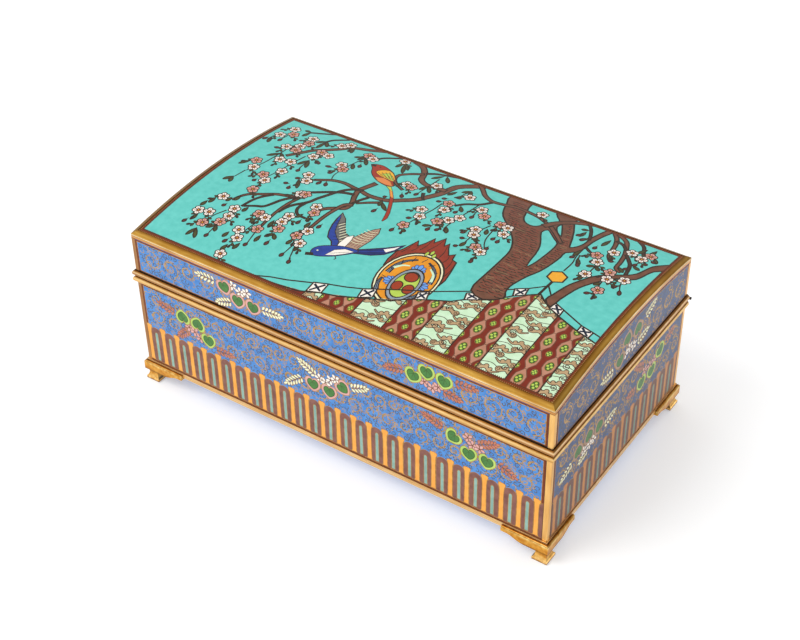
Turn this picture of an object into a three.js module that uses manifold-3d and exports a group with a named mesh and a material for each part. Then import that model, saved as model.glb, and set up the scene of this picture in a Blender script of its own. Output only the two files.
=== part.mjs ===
// A hinged enamel box with gilt metal mounts: hollow body on four bracket feet, hollow arched lid.
// Millimetres, +Z up. The long side with the picture's near edge is the front, at -Y.
// The feet stand on z = 0 and the origin is the middle of the footprint.

import * as THREE from 'three';
import { mergeVertices } from 'three/addons/utils/BufferGeometryUtils.js';
import Module from 'manifold-3d';

const wasm = await Module();
wasm.setup();

// ---- driving dimensions ----

const LENGTH = 200;             // outer length of the enamelled faces
const WIDTH = 110.2;            // outer width of the enamelled faces
const WALL = 2.5;               // copper sheet with enamel on both sides
const SEAT_GAP = 0.15;          // between two pieces that are fixed to each other
const TALL = 200;               // reach of the tools that cut right through a piece

const BODY_BOTTOM = 8.6;        // underside of the body
const PARTING = 55.8;           // level where body and lid part
const LID_EDGE = 77.2;          // outer edge of the lid's frame
const ARCH_RISE = 4.7;          // crown of the lid above its sides
const ARCH_STEPS = 15;

const SEAM = 0.3;               // opening between the two rims
const BEAD_HEIGHT = 2.8;        // both rims are half-round beads
const BEAD_PROUD = 1.2;
const BEAD_STEPS = 5;

const FRAME_WIDTH = 2.5;        // gilt frame round the lid's picture
const FRAME_DEPTH = 1.75;       // how far it comes down over the sides
const FRAME_ROUND = 0.7;        // rounding of its outer edge
const BEVEL_WIDTH = 2.2;        // the frame slopes up to the picture
const BEVEL_RISE = 0.85;
const PICTURE_DROP = 0.25;      // the picture lies a little below the frame's inner edge

const BAND_TOP = 10.9;          // gilt band round the foot of the body
const BAND_PROUD = 0.4;
const BAND_THICK = 1.2;

const STRIP_WIDTH = 2.1;        // gilt corner strips, measured on each face
const STRIP_THICK = 0.8;
const STRIP_ROUND = 0.55;

const BRACKET_TOP = 10;         // bracket feet
const BRACKET_ARM = 19.5;
const BRACKET_PROUD = 1.5;
const BRACKET_DEPTH = 3.8;      // thickness of an arm under the body
const BRACKET_LIP = 0.55;       // clear of the gilt band
const BRACKET_ROUND = 0.9;
const ARM_END_BOTTOM = 7.5;
const ARM_LOW_BOTTOM = 5.4;
const PAD_HEIGHT = 5.6;
const PAD_WIDTH = 6.8;
const PAD_WAIST = 4.6;
const PAD_LIP = 1.1;
const PAD_OUT = 1.3;            // the pad's outer faces beyond the body's faces

const HINGE_OUT = 1.8;          // hinge axis behind the back face
const KNUCKLE_RADIUS = 1.5;
const BORE_RADIUS = 0.72;
const PIN_RADIUS = 0.6;
const PIN_LENGTH = 202.4;
const KNUCKLE_COUNT = 11;
const KNUCKLE_GAP = 0.3;
const HINGE_LENGTH = 196;
const LEAF_THICK = 0.7;
const LEAF_NEAR = 1.9;          // nearest the leaf plates come to the parting level
const LEAF_FAR = 5;
const ROUND_SIDES = 24;

// The hinge reaches further back than the feet reach forward, so the model is set forward by half
// of the difference, and the origin stays at the middle of the whole footprint.
const BACK_REACH = WIDTH / 2 + HINGE_OUT + KNUCKLE_RADIUS;
const FRONT_REACH = WIDTH / 2 + BRACKET_PROUD;
const CENTRE_Y = (FRONT_REACH - BACK_REACH) / 2;

const BODY_RIM_BASE = PARTING - SEAM / 2 - BEAD_HEIGHT;
const LID_RIM_BASE = PARTING + SEAM / 2;
const LID_RIM_TOP = LID_RIM_BASE + BEAD_HEIGHT;
const ARCH_RADIUS = (WIDTH ** 2 / 4 + ARCH_RISE ** 2) / (2 * ARCH_RISE);
const ARCH_CENTRE = LID_EDGE + ARCH_RISE - ARCH_RADIUS;
const PICTURE_RISE = BEVEL_RISE - PICTURE_DROP;
const END_SLOPE = Math.atan2(BEVEL_RISE, BEVEL_WIDTH);
const EDGE_STEPS = 3;

// ---- materials ----

const enamel = new THREE.MeshStandardMaterial({ color: 0x5a83cf, roughness: 0.3, metalness: 0 });
const turquoise = new THREE.MeshStandardMaterial({ color: 0x4fcdc0, roughness: 0.25, metalness: 0 });
const gilt = new THREE.MeshStandardMaterial({ color: 0xc89344, roughness: 0.35, metalness: 1 });
const steel = new THREE.MeshStandardMaterial({ color: 0x2c2620, roughness: 0.5, metalness: 1 });

// ---- solids and meshes ----

// A closed three.js geometry as a solid that can be joined and cut.
function solid(geometry) {
  const bare = geometry.clone();
  bare.deleteAttribute('normal');
  bare.deleteAttribute('uv');
  const merged = mergeVertices(bare, 1e-5);
  const vertProperties = new Float32Array(merged.attributes.position.array);
  const triVerts = new Uint32Array(merged.index.array);
  return new wasm.Manifold(new wasm.Mesh({ numProp: 3, vertProperties, triVerts }));
}

// A solid's surface as a three.js geometry again.
function surface(manifold) {
  const { numProp, vertProperties, triVerts } = manifold.getMesh();
  const positions = new Float32Array(triVerts.length * 3);
  for (let corner = 0; corner < triVerts.length; corner++) {
    for (let axis = 0; axis < 3; axis++) {
      positions[corner * 3 + axis] = vertProperties[triVerts[corner] * numProp + axis];
    }
  }
  const geometry = new THREE.BufferGeometry();
  geometry.setAttribute('position', new THREE.BufferAttribute(positions, 3));
  geometry.computeVertexNormals();
  return geometry;
}

function piece(name, manifold, material) {
  const mesh = new THREE.Mesh(surface(manifold), material);
  mesh.name = name;
  return mesh;
}

// A box between two corners.
function block(low, high) {
  const geometry = new THREE.BoxGeometry(high[0] - low[0], high[1] - low[1], high[2] - low[2]);
  geometry.translate((low[0] + high[0]) / 2, (low[1] + high[1]) / 2, (low[2] + high[2]) / 2);
  return solid(geometry);
}

// A block centred on the box's own middle, inset from the enamelled faces.
function core(inset, bottom, top) {
  const x = LENGTH / 2 - inset;
  const y = WIDTH / 2 - inset;
  return block([-x, -y, bottom], [x, y, top]);
}

// A shape drawn in (Y, Z), extruded along X and centred on it.
function alongX(shape, length, options = {}) {
  const geometry = new THREE.ExtrudeGeometry(shape, {
    depth: length, bevelEnabled: false, curveSegments: ARCH_STEPS, ...options,
  });
  geometry.translate(0, 0, -length / 2);
  const basis = new THREE.Matrix4().makeBasis(
    new THREE.Vector3(0, 1, 0), new THREE.Vector3(0, 0, 1), new THREE.Vector3(1, 0, 0),
  );
  return solid(geometry.applyMatrix4(basis));
}

// A shape drawn in (X, Y), extruded up from a level.
function upFrom(shape, bottom, height, steps = 4) {
  const geometry = new THREE.ExtrudeGeometry(shape, {
    depth: height, bevelEnabled: false, curveSegments: steps,
  });
  return solid(geometry.translate(0, 0, bottom));
}

function rectangle(halfX, halfY, round = 0) {
  const shape = new THREE.Shape();
  [[-1, -1], [1, -1], [1, 1], [-1, 1]].forEach(([x, y], corner) => {
    const centre = [x * (halfX - round), y * (halfY - round)];
    if (round > 0) {
      const start = Math.PI + corner * Math.PI / 2;
      shape.absarc(...centre, round, start, start + Math.PI / 2, false);
    } else if (corner === 0) {
      shape.moveTo(...centre);
    } else {
      shape.lineTo(...centre);
    }
  });
  return shape;
}

// The four corners of the box, with the quarter turns that carry a corner piece to each.
const CORNERS = [
  { place: 'back_right', x: 1, y: 1, turns: 0 },
  { place: 'back_left', x: -1, y: 1, turns: 1 },
  { place: 'front_left', x: -1, y: -1, turns: 2 },
  { place: 'front_right', x: 1, y: -1, turns: 3 },
];

// ---- rims, band and frame ----

// A flat ring whose outer edge is a half-round bead. The back stays flat, for the hinge.
function rim(bottom) {
  const geometry = new THREE.ExtrudeGeometry(rectangle(LENGTH / 2, WIDTH / 2), {
    depth: 0.02,
    bevelEnabled: true,
    bevelThickness: BEAD_HEIGHT / 2 - 0.01,
    bevelSize: BEAD_PROUD,
    bevelSegments: BEAD_STEPS,
  });
  const slab = solid(geometry.translate(0, 0, bottom + BEAD_HEIGHT / 2 - 0.01));
  const behind = block([-TALL, WIDTH / 2, 0], [TALL, TALL, TALL]);
  return slab.subtract(core(WALL, 0, TALL)).subtract(behind);
}

function baseBand() {
  const outer = core(-BAND_PROUD, BODY_BOTTOM, BAND_TOP);
  return outer.subtract(core(BAND_THICK - BAND_PROUD, 0, TALL));
}

// The arched outline across the box, from a level up to the arch, raised and narrowed at will.
function archOutline(inset, bottom, raised) {
  const half = WIDTH / 2 - inset;
  const radius = ARCH_RADIUS + raised;
  const angle = Math.asin(half / radius);
  const shape = new THREE.Shape();
  shape.moveTo(-half, bottom);
  shape.lineTo(half, bottom);
  shape.absarc(0, ARCH_CENTRE, radius, Math.PI / 2 - angle, Math.PI / 2 + angle, false);
  return shape;
}

// The outline across the lid with its frame: upright sides, a bevel at each, the arch between them.
function crownOutline(grow, round) {
  const inner = WIDTH / 2 - BEVEL_WIDTH;
  const outer = WIDTH / 2 + grow;
  const radius = ARCH_RADIUS + BEVEL_RISE;
  const angle = Math.asin(inner / radius);
  const slope = Math.atan2(ARCH_CENTRE + radius * Math.cos(angle) - LID_EDGE, BEVEL_WIDTH);
  const level = LID_EDGE - grow * Math.tan(slope) + roundLift(slope, round) - round;
  const edge = [];
  for (let step = 0; step <= EDGE_STEPS; step++) {
    const turn = (step / EDGE_STEPS) * (Math.PI / 2 - slope);
    edge.push([outer - round + round * Math.cos(turn), level + round * Math.sin(turn)]);
  }
  const shape = new THREE.Shape();
  shape.moveTo(-outer, 0);
  shape.lineTo(outer, 0);
  edge.forEach(([y, z]) => shape.lineTo(y, z));
  shape.absarc(0, ARCH_CENTRE, radius, Math.PI / 2 - angle, Math.PI / 2 + angle, false);
  edge.reverse().forEach(([y, z]) => shape.lineTo(-y, z));
  return shape;
}

// How far a rounding's top lies above the corner that it rounds, between an upright side and a slope.
function roundLift(slope, round) {
  return round * (1 + Math.tan(slope) - 1 / Math.cos(slope));
}

// The arch along the box, raised, and sloping down to both ends from so far inside them.
function slopedEnds(inside, slope, raised, grow) {
  const fall = Math.tan(slope) * (inside + grow);
  return alongX(archOutline(-grow - fall - 1, 0, raised), LENGTH - 2 * inside, {
    bevelEnabled: true,
    bevelThickness: inside + grow,
    bevelSize: fall,
    bevelOffset: -fall,
    bevelSegments: 1,
  });
}

// The lid's outside with the frame's bevels on all four sides, which meet in mitres.
function crown(grow, round) {
  const across = alongX(crownOutline(grow, round), LENGTH + 2 * grow);
  return across.intersect(slopedEnds(BEVEL_WIDTH, END_SLOPE, BEVEL_RISE, grow));
}

// The frame's outer edge is rounded, also where it turns the corners.
function topFrame() {
  let outside = crown(0, FRAME_ROUND);
  for (let step = 1; step < EDGE_STEPS; step++) {
    const slope = END_SLOPE + (Math.PI / 2 - END_SLOPE) * step / EDGE_STEPS;
    const centre = roundLift(END_SLOPE, FRAME_ROUND) - FRAME_ROUND;
    const edge = centre + FRAME_ROUND * (1 - Math.sin(slope)) / Math.cos(slope);
    const raised = BEVEL_RISE + 0.1;
    outside = outside.intersect(slopedEnds((raised - edge) / Math.tan(slope), slope, raised, 0));
  }
  const corners = upFrom(rectangle(LENGTH / 2, WIDTH / 2, STRIP_ROUND), LID_RIM_TOP, TALL);
  const below = crown(1, 0).translate([0, 0, -FRAME_DEPTH]);
  return outside.intersect(corners).subtract(below).subtract(core(FRAME_WIDTH, 0, TALL));
}

// The seat that the frame lies in, as a cutter for the lid.
function frameSeat() {
  const above = core(-1, LID_RIM_TOP, TALL);
  const below = crown(2, 0).translate([0, 0, -FRAME_DEPTH - SEAT_GAP]);
  return above.subtract(below).subtract(core(FRAME_WIDTH + SEAT_GAP, 0, TALL));
}

// ---- corner strips ----

// An angle strip for the back right corner, with its outer corner at the origin.
function stripShape(grow) {
  const width = STRIP_WIDTH + grow;
  const thick = STRIP_THICK + grow;
  const round = grow > 0 ? 0.01 : STRIP_ROUND;
  const shape = new THREE.Shape();
  shape.moveTo(-width, grow);
  shape.lineTo(-width, -thick);
  shape.lineTo(-thick, -thick);
  shape.lineTo(-thick, -width);
  shape.lineTo(grow, -width);
  shape.absarc(grow - round, grow - round, round, 0, Math.PI / 2, false);
  return shape;
}

function stripNotches(bottom, top) {
  const cutter = upFrom(stripShape(SEAT_GAP), bottom, top - bottom, 1);
  return CORNERS.map(({ x, y, turns }) => (
    cutter.rotate([0, 0, turns * 90]).translate([x * LENGTH / 2, y * WIDTH / 2, 0])
  ));
}

function cornerStrips(prefix, bottom, top) {
  const strip = upFrom(stripShape(0), bottom, top - bottom, 4);
  return CORNERS.map(({ place, x, y, turns }) => {
    const mesh = piece(`${prefix}_strip_${place}`, strip, gilt);
    mesh.rotation.z = turns * Math.PI / 2;
    mesh.position.set(x * LENGTH / 2, y * WIDTH / 2, 0);
    return mesh;
  });
}

// ---- shells ----

function bodyShell() {
  const top = BODY_RIM_BASE - SEAT_GAP;
  const rebate = BAND_THICK - BAND_PROUD + SEAT_GAP;
  let shell = core(0, BODY_BOTTOM, top);
  shell = shell.subtract(core(WALL, BODY_BOTTOM + WALL, TALL));
  const foot = core(-1, 0, BAND_TOP + SEAT_GAP).subtract(core(rebate, 0, TALL));
  shell = shell.subtract(foot);
  for (const notch of stripNotches(BAND_TOP, top + 1)) {
    shell = shell.subtract(notch);
  }
  return shell;
}

function lidShell() {
  const bottom = LID_RIM_TOP + SEAT_GAP;
  let shell = alongX(archOutline(0, bottom, PICTURE_RISE), LENGTH);
  shell = shell.subtract(alongX(archOutline(WALL, 0, PICTURE_RISE - WALL), LENGTH - 2 * WALL));
  shell = shell.subtract(frameSeat());
  for (const notch of stripNotches(0, LID_EDGE)) {
    shell = shell.subtract(notch);
  }
  return shell;
}

// ---- bracket feet ----

// One arm's outline in (distance along the side, height): a scalloped apron that steps up at its end.
function armOutline() {
  const shape = new THREE.Shape();
  shape.moveTo(BRACKET_PROUD, ARM_LOW_BOTTOM);
  shape.lineTo(BRACKET_PROUD, BRACKET_TOP);
  shape.lineTo(-BRACKET_ARM, BRACKET_TOP);
  shape.lineTo(-BRACKET_ARM, ARM_END_BOTTOM);
  shape.lineTo(-BRACKET_ARM + 2.2, ARM_END_BOTTOM);
  shape.bezierCurveTo(-BRACKET_ARM + 5, ARM_END_BOTTOM, -12.5, ARM_LOW_BOTTOM, -9, ARM_LOW_BOTTOM);
  return shape;
}

// The pad under the corner: a square foot that flares to the ground in a hollow curve.
function pad() {
  const rings = 5;
  const profile = [new THREE.Vector2(0, 0), new THREE.Vector2(PAD_WIDTH / 2, 0)];
  profile.push(new THREE.Vector2(PAD_WIDTH / 2, PAD_LIP));
  for (let ring = 1; ring <= rings; ring++) {
    const angle = (ring / rings) * Math.PI / 2;
    const out = PAD_WAIST / 2 + (PAD_WIDTH - PAD_WAIST) / 2 * (1 - Math.sin(angle));
    const up = PAD_LIP + (PAD_HEIGHT - PAD_LIP) * (1 - Math.cos(angle)) * 0.7;
    profile.push(new THREE.Vector2(out, up));
  }
  profile.push(new THREE.Vector2(PAD_WAIST / 2, PAD_HEIGHT));
  profile.push(new THREE.Vector2(0, PAD_HEIGHT));
  const square = profile.map((point) => new THREE.Vector2(point.x * Math.SQRT2, point.y));
  const geometry = new THREE.LatheGeometry(square, 4, Math.PI / 4);
  geometry.rotateX(Math.PI / 2);
  const centre = PAD_OUT - PAD_WIDTH / 2;
  return solid(geometry.translate(centre, centre, 0));
}

// A foot for the back right corner, with the body's corner at the origin.
function foot() {
  const arm = new THREE.ExtrudeGeometry(armOutline(), {
    depth: BRACKET_DEPTH, bevelEnabled: false, curveSegments: 8,
  });
  const toFace = new THREE.Matrix4().makeBasis(
    new THREE.Vector3(1, 0, 0), new THREE.Vector3(0, 0, 1), new THREE.Vector3(0, -1, 0),
  );
  arm.applyMatrix4(toFace).translate(0, BRACKET_PROUD, 0);
  const swap = new THREE.Matrix4().makeBasis(
    new THREE.Vector3(1, 0, 0), new THREE.Vector3(0, 0, -1), new THREE.Vector3(0, 1, 0),
  );
  const alongBack = solid(arm);
  const alongEnd = alongBack.mirror([1, -1, 0]);

  // Rounds the upper outer edge of both arms, mitred at the corner.
  const reach = 2 * BRACKET_ARM;
  const limits = new THREE.ExtrudeGeometry(rectangle(reach, reach), {
    depth: BRACKET_TOP,
    bevelEnabled: true,
    bevelThickness: BRACKET_ROUND,
    bevelSize: BRACKET_ROUND,
    bevelOffset: -BRACKET_ROUND,
    bevelSegments: 4,
  });
  const shift = BRACKET_PROUD - reach;
  limits.translate(shift, shift, -BRACKET_ROUND);

  const under = BODY_BOTTOM - SEAT_GAP;
  const seat = block([-TALL, -TALL, under], [BRACKET_LIP, BRACKET_LIP, TALL]);
  return alongBack.add(alongEnd).intersect(solid(limits)).subtract(seat).add(pad());
}

function feet() {
  const shared = foot();
  return CORNERS.map(({ place, x, y, turns }) => {
    const mesh = piece(`foot_${place}`, shared, gilt);
    mesh.rotation.z = turns * Math.PI / 2;
    mesh.position.set(x * LENGTH / 2, y * WIDTH / 2, 0);
    return mesh;
  });
}

// ---- hinge ----

function rodAlongX(radius, length, centreX) {
  const geometry = new THREE.CylinderGeometry(radius, radius, length, ROUND_SIDES);
  geometry.rotateZ(Math.PI / 2).translate(centreX, WIDTH / 2 + HINGE_OUT, PARTING);
  return solid(geometry);
}

// The knuckles of one leaf, with the plate that fixes them. Side is 1 for the lid and -1 for the body.
function hingeLeaf(side) {
  const back = WIDTH / 2 + SEAT_GAP;
  const axisY = WIDTH / 2 + HINGE_OUT;
  const near = PARTING + side * LEAF_NEAR;
  const far = PARTING + side * LEAF_FAR;
  const half = HINGE_LENGTH / 2;
  let leaf = block([-half, back, Math.min(near, far)], [half, back + LEAF_THICK, Math.max(near, far)]);

  const pitch = HINGE_LENGTH / KNUCKLE_COUNT;
  const width = pitch - KNUCKLE_GAP;
  const tabStart = PARTING + side * SEAM / 2;
  const tabEnd = near + side * 0.5;
  for (let index = 0; index < KNUCKLE_COUNT; index++) {
    const ofLid = index % 2 === 1;
    if (ofLid === (side === 1)) {
      const x = -half + pitch * (index + 0.5);
      const low = [x - width / 2, back, Math.min(tabStart, tabEnd)];
      const high = [x + width / 2, axisY, Math.max(tabStart, tabEnd)];
      leaf = leaf.add(rodAlongX(KNUCKLE_RADIUS, width, x));
      leaf = leaf.add(block(low, high).intersect(rodAlongX(tabReach(), width, x)));
    }
  }
  return leaf.subtract(rodAlongX(BORE_RADIUS, HINGE_LENGTH + 2, 0));
}

// Tabs stay within this distance of the axis, so that they turn clear of everything.
function tabReach() {
  return Math.hypot(HINGE_OUT, LEAF_NEAR + 0.5);
}

function hingePin() {
  return rodAlongX(PIN_RADIUS, PIN_LENGTH, 0);
}

// ---- the box ----

const body = new THREE.Group();
body.add(piece('box_body', bodyShell(), enamel));
body.add(piece('body_rim', rim(BODY_RIM_BASE), gilt));
body.add(piece('body_base_band', baseBand(), gilt));
body.add(...cornerStrips('body', BAND_TOP + SEAT_GAP, BODY_RIM_BASE - SEAT_GAP));
body.add(...feet());
body.add(piece('hinge_body_leaf', hingeLeaf(-1), gilt));
body.add(piece('hinge_pin', hingePin(), steel));

const lid = new THREE.Group();
lid.add(piece('lid_shell', lidShell(), turquoise));
lid.add(piece('lid_top_frame', topFrame(), gilt));
lid.add(piece('lid_rim', rim(LID_RIM_BASE), gilt));
lid.add(...cornerStrips('lid', LID_RIM_TOP + SEAT_GAP, LID_EDGE - FRAME_DEPTH - SEAT_GAP));
lid.add(piece('hinge_lid_leaf', hingeLeaf(1), gilt));

const box = new THREE.Group();
box.add(body, lid);
box.position.y = CENTRE_Y;

export default box;
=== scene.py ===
# The finished look of a hinged cloisonne enamel box: gilt metal, and enamel pictures laid flush
# between fine wires. Everything is in metres on the CAD model's frame; the enamel designs are drawn
# in millimetres on each face.

import math
import random

import bmesh
import bpy
from mathutils import Matrix, Vector
from mathutils.geometry import delaunay_2d_cdt, tessellate_polygon


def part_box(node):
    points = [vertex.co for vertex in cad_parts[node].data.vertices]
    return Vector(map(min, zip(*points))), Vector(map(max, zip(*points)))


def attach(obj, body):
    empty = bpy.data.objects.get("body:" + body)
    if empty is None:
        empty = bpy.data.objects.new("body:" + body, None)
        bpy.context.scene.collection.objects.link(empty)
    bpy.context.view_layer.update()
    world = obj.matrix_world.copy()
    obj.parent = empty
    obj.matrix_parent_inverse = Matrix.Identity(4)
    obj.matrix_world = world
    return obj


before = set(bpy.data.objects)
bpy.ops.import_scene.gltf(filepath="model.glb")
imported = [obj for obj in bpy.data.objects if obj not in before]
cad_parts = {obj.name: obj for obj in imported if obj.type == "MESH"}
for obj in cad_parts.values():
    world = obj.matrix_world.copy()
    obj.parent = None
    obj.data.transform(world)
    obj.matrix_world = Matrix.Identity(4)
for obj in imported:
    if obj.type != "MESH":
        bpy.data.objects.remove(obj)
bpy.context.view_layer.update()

MM = 0.001

# ---- camera, floor and light ----

AZIMUTH, ELEVATION, ROLL = (math.radians(angle) for angle in (34.68, 38.48, -0.958))
CAMERA_PLACE = Vector((0.28498, -0.41866, 0.44058))
LENS = 69.13
SENSOR = 36
BOX_MIDDLE = (0, 0, 0.04)


def camera():
    away = Vector((math.sin(AZIMUTH) * math.cos(ELEVATION),
                   -math.cos(AZIMUTH) * math.cos(ELEVATION), math.sin(ELEVATION)))
    across = Vector((math.cos(AZIMUTH), math.sin(AZIMUTH), 0))
    upward = away.cross(across)
    right = across * math.cos(ROLL) + upward * math.sin(ROLL)
    upright = upward * math.cos(ROLL) - across * math.sin(ROLL)
    data = bpy.data.cameras.new("camera")
    data.lens = LENS
    data.sensor_width = SENSOR
    item = bpy.data.objects.new("camera", data)
    item.matrix_world = Matrix.Translation(CAMERA_PLACE) @ Matrix((right, upright, away)).transposed().to_4x4()
    bpy.context.scene.collection.objects.link(item)
    bpy.context.scene.camera = item


def lamp(name, place, size, watts):
    """A round lamp that points at the box."""
    data = bpy.data.lights.new(name, "AREA")
    data.shape = "DISK"
    data.size = size
    data.energy = watts
    item = bpy.data.objects.new(name, data)
    item.location = place
    item.rotation_euler = (Vector(BOX_MIDDLE) - Vector(place)).to_track_quat("-Z", "Y").to_euler()
    bpy.context.scene.collection.objects.link(item)


# ---- materials ----

FINE_RELIEF = 0.0001            # the depth of pits and scratches


def linear(hexcode):
    def channel(value):
        value /= 255
        return value / 12.92 if value <= 0.04045 else ((value + 0.055) / 1.055) ** 2.4
    number = int(hexcode.lstrip("#"), 16)
    return tuple(channel(number >> shift & 255) for shift in (16, 8, 0)) + (1,)


def node(material, kind, inputs=None, **settings):
    """Adds a node; an input is a plain value or another node's output."""
    item = material.node_tree.nodes.new(kind)
    for name, value in settings.items():
        setattr(item, name, value)
    for name, value in (inputs or {}).items():
        if isinstance(value, bpy.types.NodeSocket):
            material.node_tree.links.new(value, item.inputs[name])
        else:
            item.inputs[name].default_value = value
    return item


def new_material(name):
    material = bpy.data.materials.new(name)
    material.use_nodes = True
    material.node_tree.nodes.clear()
    return material


def finish_material(material, shader):
    output = material.node_tree.nodes.new("ShaderNodeOutputMaterial")
    material.node_tree.links.new(shader.outputs["BSDF"], output.inputs["Surface"])
    return material


def place_in_mm(material, stretch=(1, 1, 1)):
    """Object coordinates in millimetres, stretched where a finish runs along the piece."""
    at = node(material, "ShaderNodeTexCoord")
    return node(material, "ShaderNodeMapping", {"Vector": at.outputs["Object"],
                "Scale": tuple(1000 / axis for axis in stretch)}).outputs["Vector"]


def mixed(material, factor, first, second):
    ramp = node(material, "ShaderNodeValToRGB", {"Fac": factor})
    ramp.color_ramp.elements[0].position = 0.3
    ramp.color_ramp.elements[1].position = 0.7
    ramp.color_ramp.elements[0].color = linear(first)
    ramp.color_ramp.elements[1].color = linear(second)
    return ramp.outputs["Color"]


def tones(material, factor, low, high, stops):
    """Colours by a measure in millimetres that runs from low to high."""
    share = node(material, "ShaderNodeMapRange", {"Value": factor, "From Min": low, "From Max": high})
    ramp = node(material, "ShaderNodeValToRGB", {"Fac": share.outputs["Result"]})
    for index, (level, colour) in enumerate(stops):
        place = (level - low) / (high - low)
        stop = ramp.color_ramp.elements[index] if index < 2 else ramp.color_ramp.elements.new(place)
        stop.position = place
        stop.color = linear(colour)
    return ramp.outputs["Color"]


def enamel(name, colour, deeper=None, roughness=0.3):
    """Fired glass, stoned smooth and waxed: a low gloss, faint clouds of colour and a few tiny pits."""
    material = new_material(name)
    mm = place_in_mm(material)
    pits = node(material, "ShaderNodeTexNoise", {"Vector": mm, "Scale": 1.4, "Detail": 3.0})
    bump = node(material, "ShaderNodeBump", {"Height": pits.outputs["Fac"], "Strength": 0.12,
                "Distance": FINE_RELIEF})
    shader = node(material, "ShaderNodeBsdfPrincipled", {"Base Color": linear(colour),
                  "Roughness": roughness, "IOR": 1.5, "Specular IOR Level": 0.2,
                  "Normal": bump.outputs["Normal"]})
    if deeper:
        clouds = node(material, "ShaderNodeTexNoise", {"Vector": mm, "Scale": 0.35, "Detail": 4.0})
        tone = mixed(material, clouds.outputs["Fac"], deeper, colour)
        material.node_tree.links.new(tone, shader.inputs["Base Color"])
    return finish_material(material, shader)


def gilt(name, bright, worn, along=(1, 1, 1), roughness=0.34, centre=None, stops=None):
    """Gilding on brass, rubbed by hand: long fine scratches, duller brown where it has worn, and, where
    stops are given, bands of colour by the level or by the distance from a centre line, which paint
    highlights on the high lines and paint shade in the grooves."""
    material = new_material(name)
    patches = node(material, "ShaderNodeTexNoise", {"Vector": place_in_mm(material, along), "Scale": 0.5,
                   "Detail": 5.0})
    tone = mixed(material, patches.outputs["Fac"], worn, bright)
    if stops:
        at = node(material, "ShaderNodeTexCoord")
        line = node(material, "ShaderNodeMapping", {"Vector": at.outputs["Object"],
                    "Scale": (0, 1000, 1000) if centre else (0, 0, 1000),
                    "Location": (0, -centre[0], -centre[1]) if centre else (0, 0, 0)})
        measure = node(material, "ShaderNodeVectorMath", {0: line.outputs["Vector"]}, operation="LENGTH")
        level = tones(material, measure.outputs["Value"], stops[0][0] - 0.01, stops[-1][0] + 0.01, stops)
        both = node(material, "ShaderNodeMix", data_type="RGBA", blend_type="MULTIPLY")
        both.inputs["Factor"].default_value = 1.0
        material.node_tree.links.new(tone, both.inputs[6])
        material.node_tree.links.new(level, both.inputs[7])
        tone = both.outputs[2]
    scratches = node(material, "ShaderNodeTexNoise", {"Vector": place_in_mm(material, along), "Scale": 2.5,
                     "Detail": 2.0})
    bump = node(material, "ShaderNodeBump", {"Height": scratches.outputs["Fac"], "Strength": 0.25,
                "Distance": FINE_RELIEF})
    shader = node(material, "ShaderNodeBsdfPrincipled", {"Base Color": tone, "Metallic": 1.0,
                  "Roughness": roughness, "Normal": bump.outputs["Normal"]})
    return finish_material(material, shader)


# Enamels: the colour of each, and the deeper colour of its clouds where it has any. Opaque glass
# looks even and a little chalky, with a soft sheen.
# The enamels for the end panels are darker copies of the blue, brown, teal and orange: they paint shade on the
# ends.
ENAMELS = {
    "turquoise": ("#6accc2", "#5cc0b6"), "blue": ("#5692d6", "#427cc2"), "end_blue": ("#48618e", "#3a507a"),
    "rust": ("#7c3612", "#682a0c"), "brown": ("#8e5f52", "#744840"), "orange": ("#fbb050", "#f0a040"),
    "teal": ("#93b8ac", "#7fa498"), "end_brown": ("#754c40", "#623b33"), "end_teal": ("#76968c", "#66867c"),
    "end_orange": ("#d0884a", "#bf783c"), "green": ("#4e8642", "#3f7438"), "lime": ("#bcd872", "#acca5e"),
    "pink": ("#e0aea6", "#d49a92"), "cream": ("#f2f0cc", "#e6e2b4"), "rose": ("#c87f66", "#b46c54"),
    "white": ("#f4ece0",), "bark": ("#7c503e", "#66422f"), "olive": ("#4e4c26", "#403e20"),
    "bud": ("#5e2e28",), "brick": ("#822c18", "#702313"), "mint": ("#d2eccc", "#c0e0b8"),
    "sand": ("#c2a47c", "#b0906a"), "leaf_yellow": ("#bcd45c", "#a8c24a"), "forest": ("#3f5a2a",),
    "navy": ("#232f6c", "#1b2450"), "sky": ("#6f9ee0",), "gold_yellow": ("#f2b83c", "#e6a62c"),
    "red": ("#a03622",), "silver": ("#93a0ac", "#84929c"), "petal_pink": ("#e2b0a2", "#d49a8a"),
    "ink": ("#1e2536",), "blush": ("#c08a72", "#b07a62"), "flame": ("#983a26", "#86301f"),
    "drum_orange": ("#e89a24", "#d88a1e"), "red_disc": ("#9d3a1b",), "tan": ("#b4937e", "#a3826c"),
    "slate": ("#6d6a66",), "royal": ("#2c459c", "#233a86"), "rose_orange": ("#e0864a",),
    "finial_orange": ("#f0ae34", "#e8a02a"), "bark_dark": ("#4c382c", "#3c2c22"), "bark_red": ("#8a4433",),
    "bark_light": ("#8c6c4c",),
}
FINISHES = {name: enamel(name + "_enamel", *colours) for name, colours in ENAMELS.items()}
# Wires: tarnished copper is dull and nearly black, and gilt ones catch the light as thin warm lines.
FINISHES["dark_wire"] = enamel("tarnished_wire", "#33251b")
FINISHES["shade_wire"] = enamel("shaded_wire", "#5a5450")
# A nearly black enamel that paints the shade in the crevice above the lid's bead.
FINISHES["joint"] = enamel("dark_joint", "#2c1a0e", roughness=0.6)
FINISHES["wire"] = gilt("cloisonne_wire", "#c79a58", "#8f6a3a", roughness=0.4)
FINISHES["scroll_wire"] = gilt("gilt_scroll_wire", "#cfa864", "#a07e48", roughness=0.45)

# ---- drawing: shapes in millimetres on a face ----

WIRE = 0.34
BLOSSOM = 2.6
SPRIG = 4.6
PLUME_WIDTH = 5.2
FLORET = 2.4
HEART_SIZE = 3.9
CURL_PITCH = 2.7
BARBS = 9


def polar(centre, angle, distance):
    return (centre[0] + math.cos(angle) * distance, centre[1] + math.sin(angle) * distance)


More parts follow.
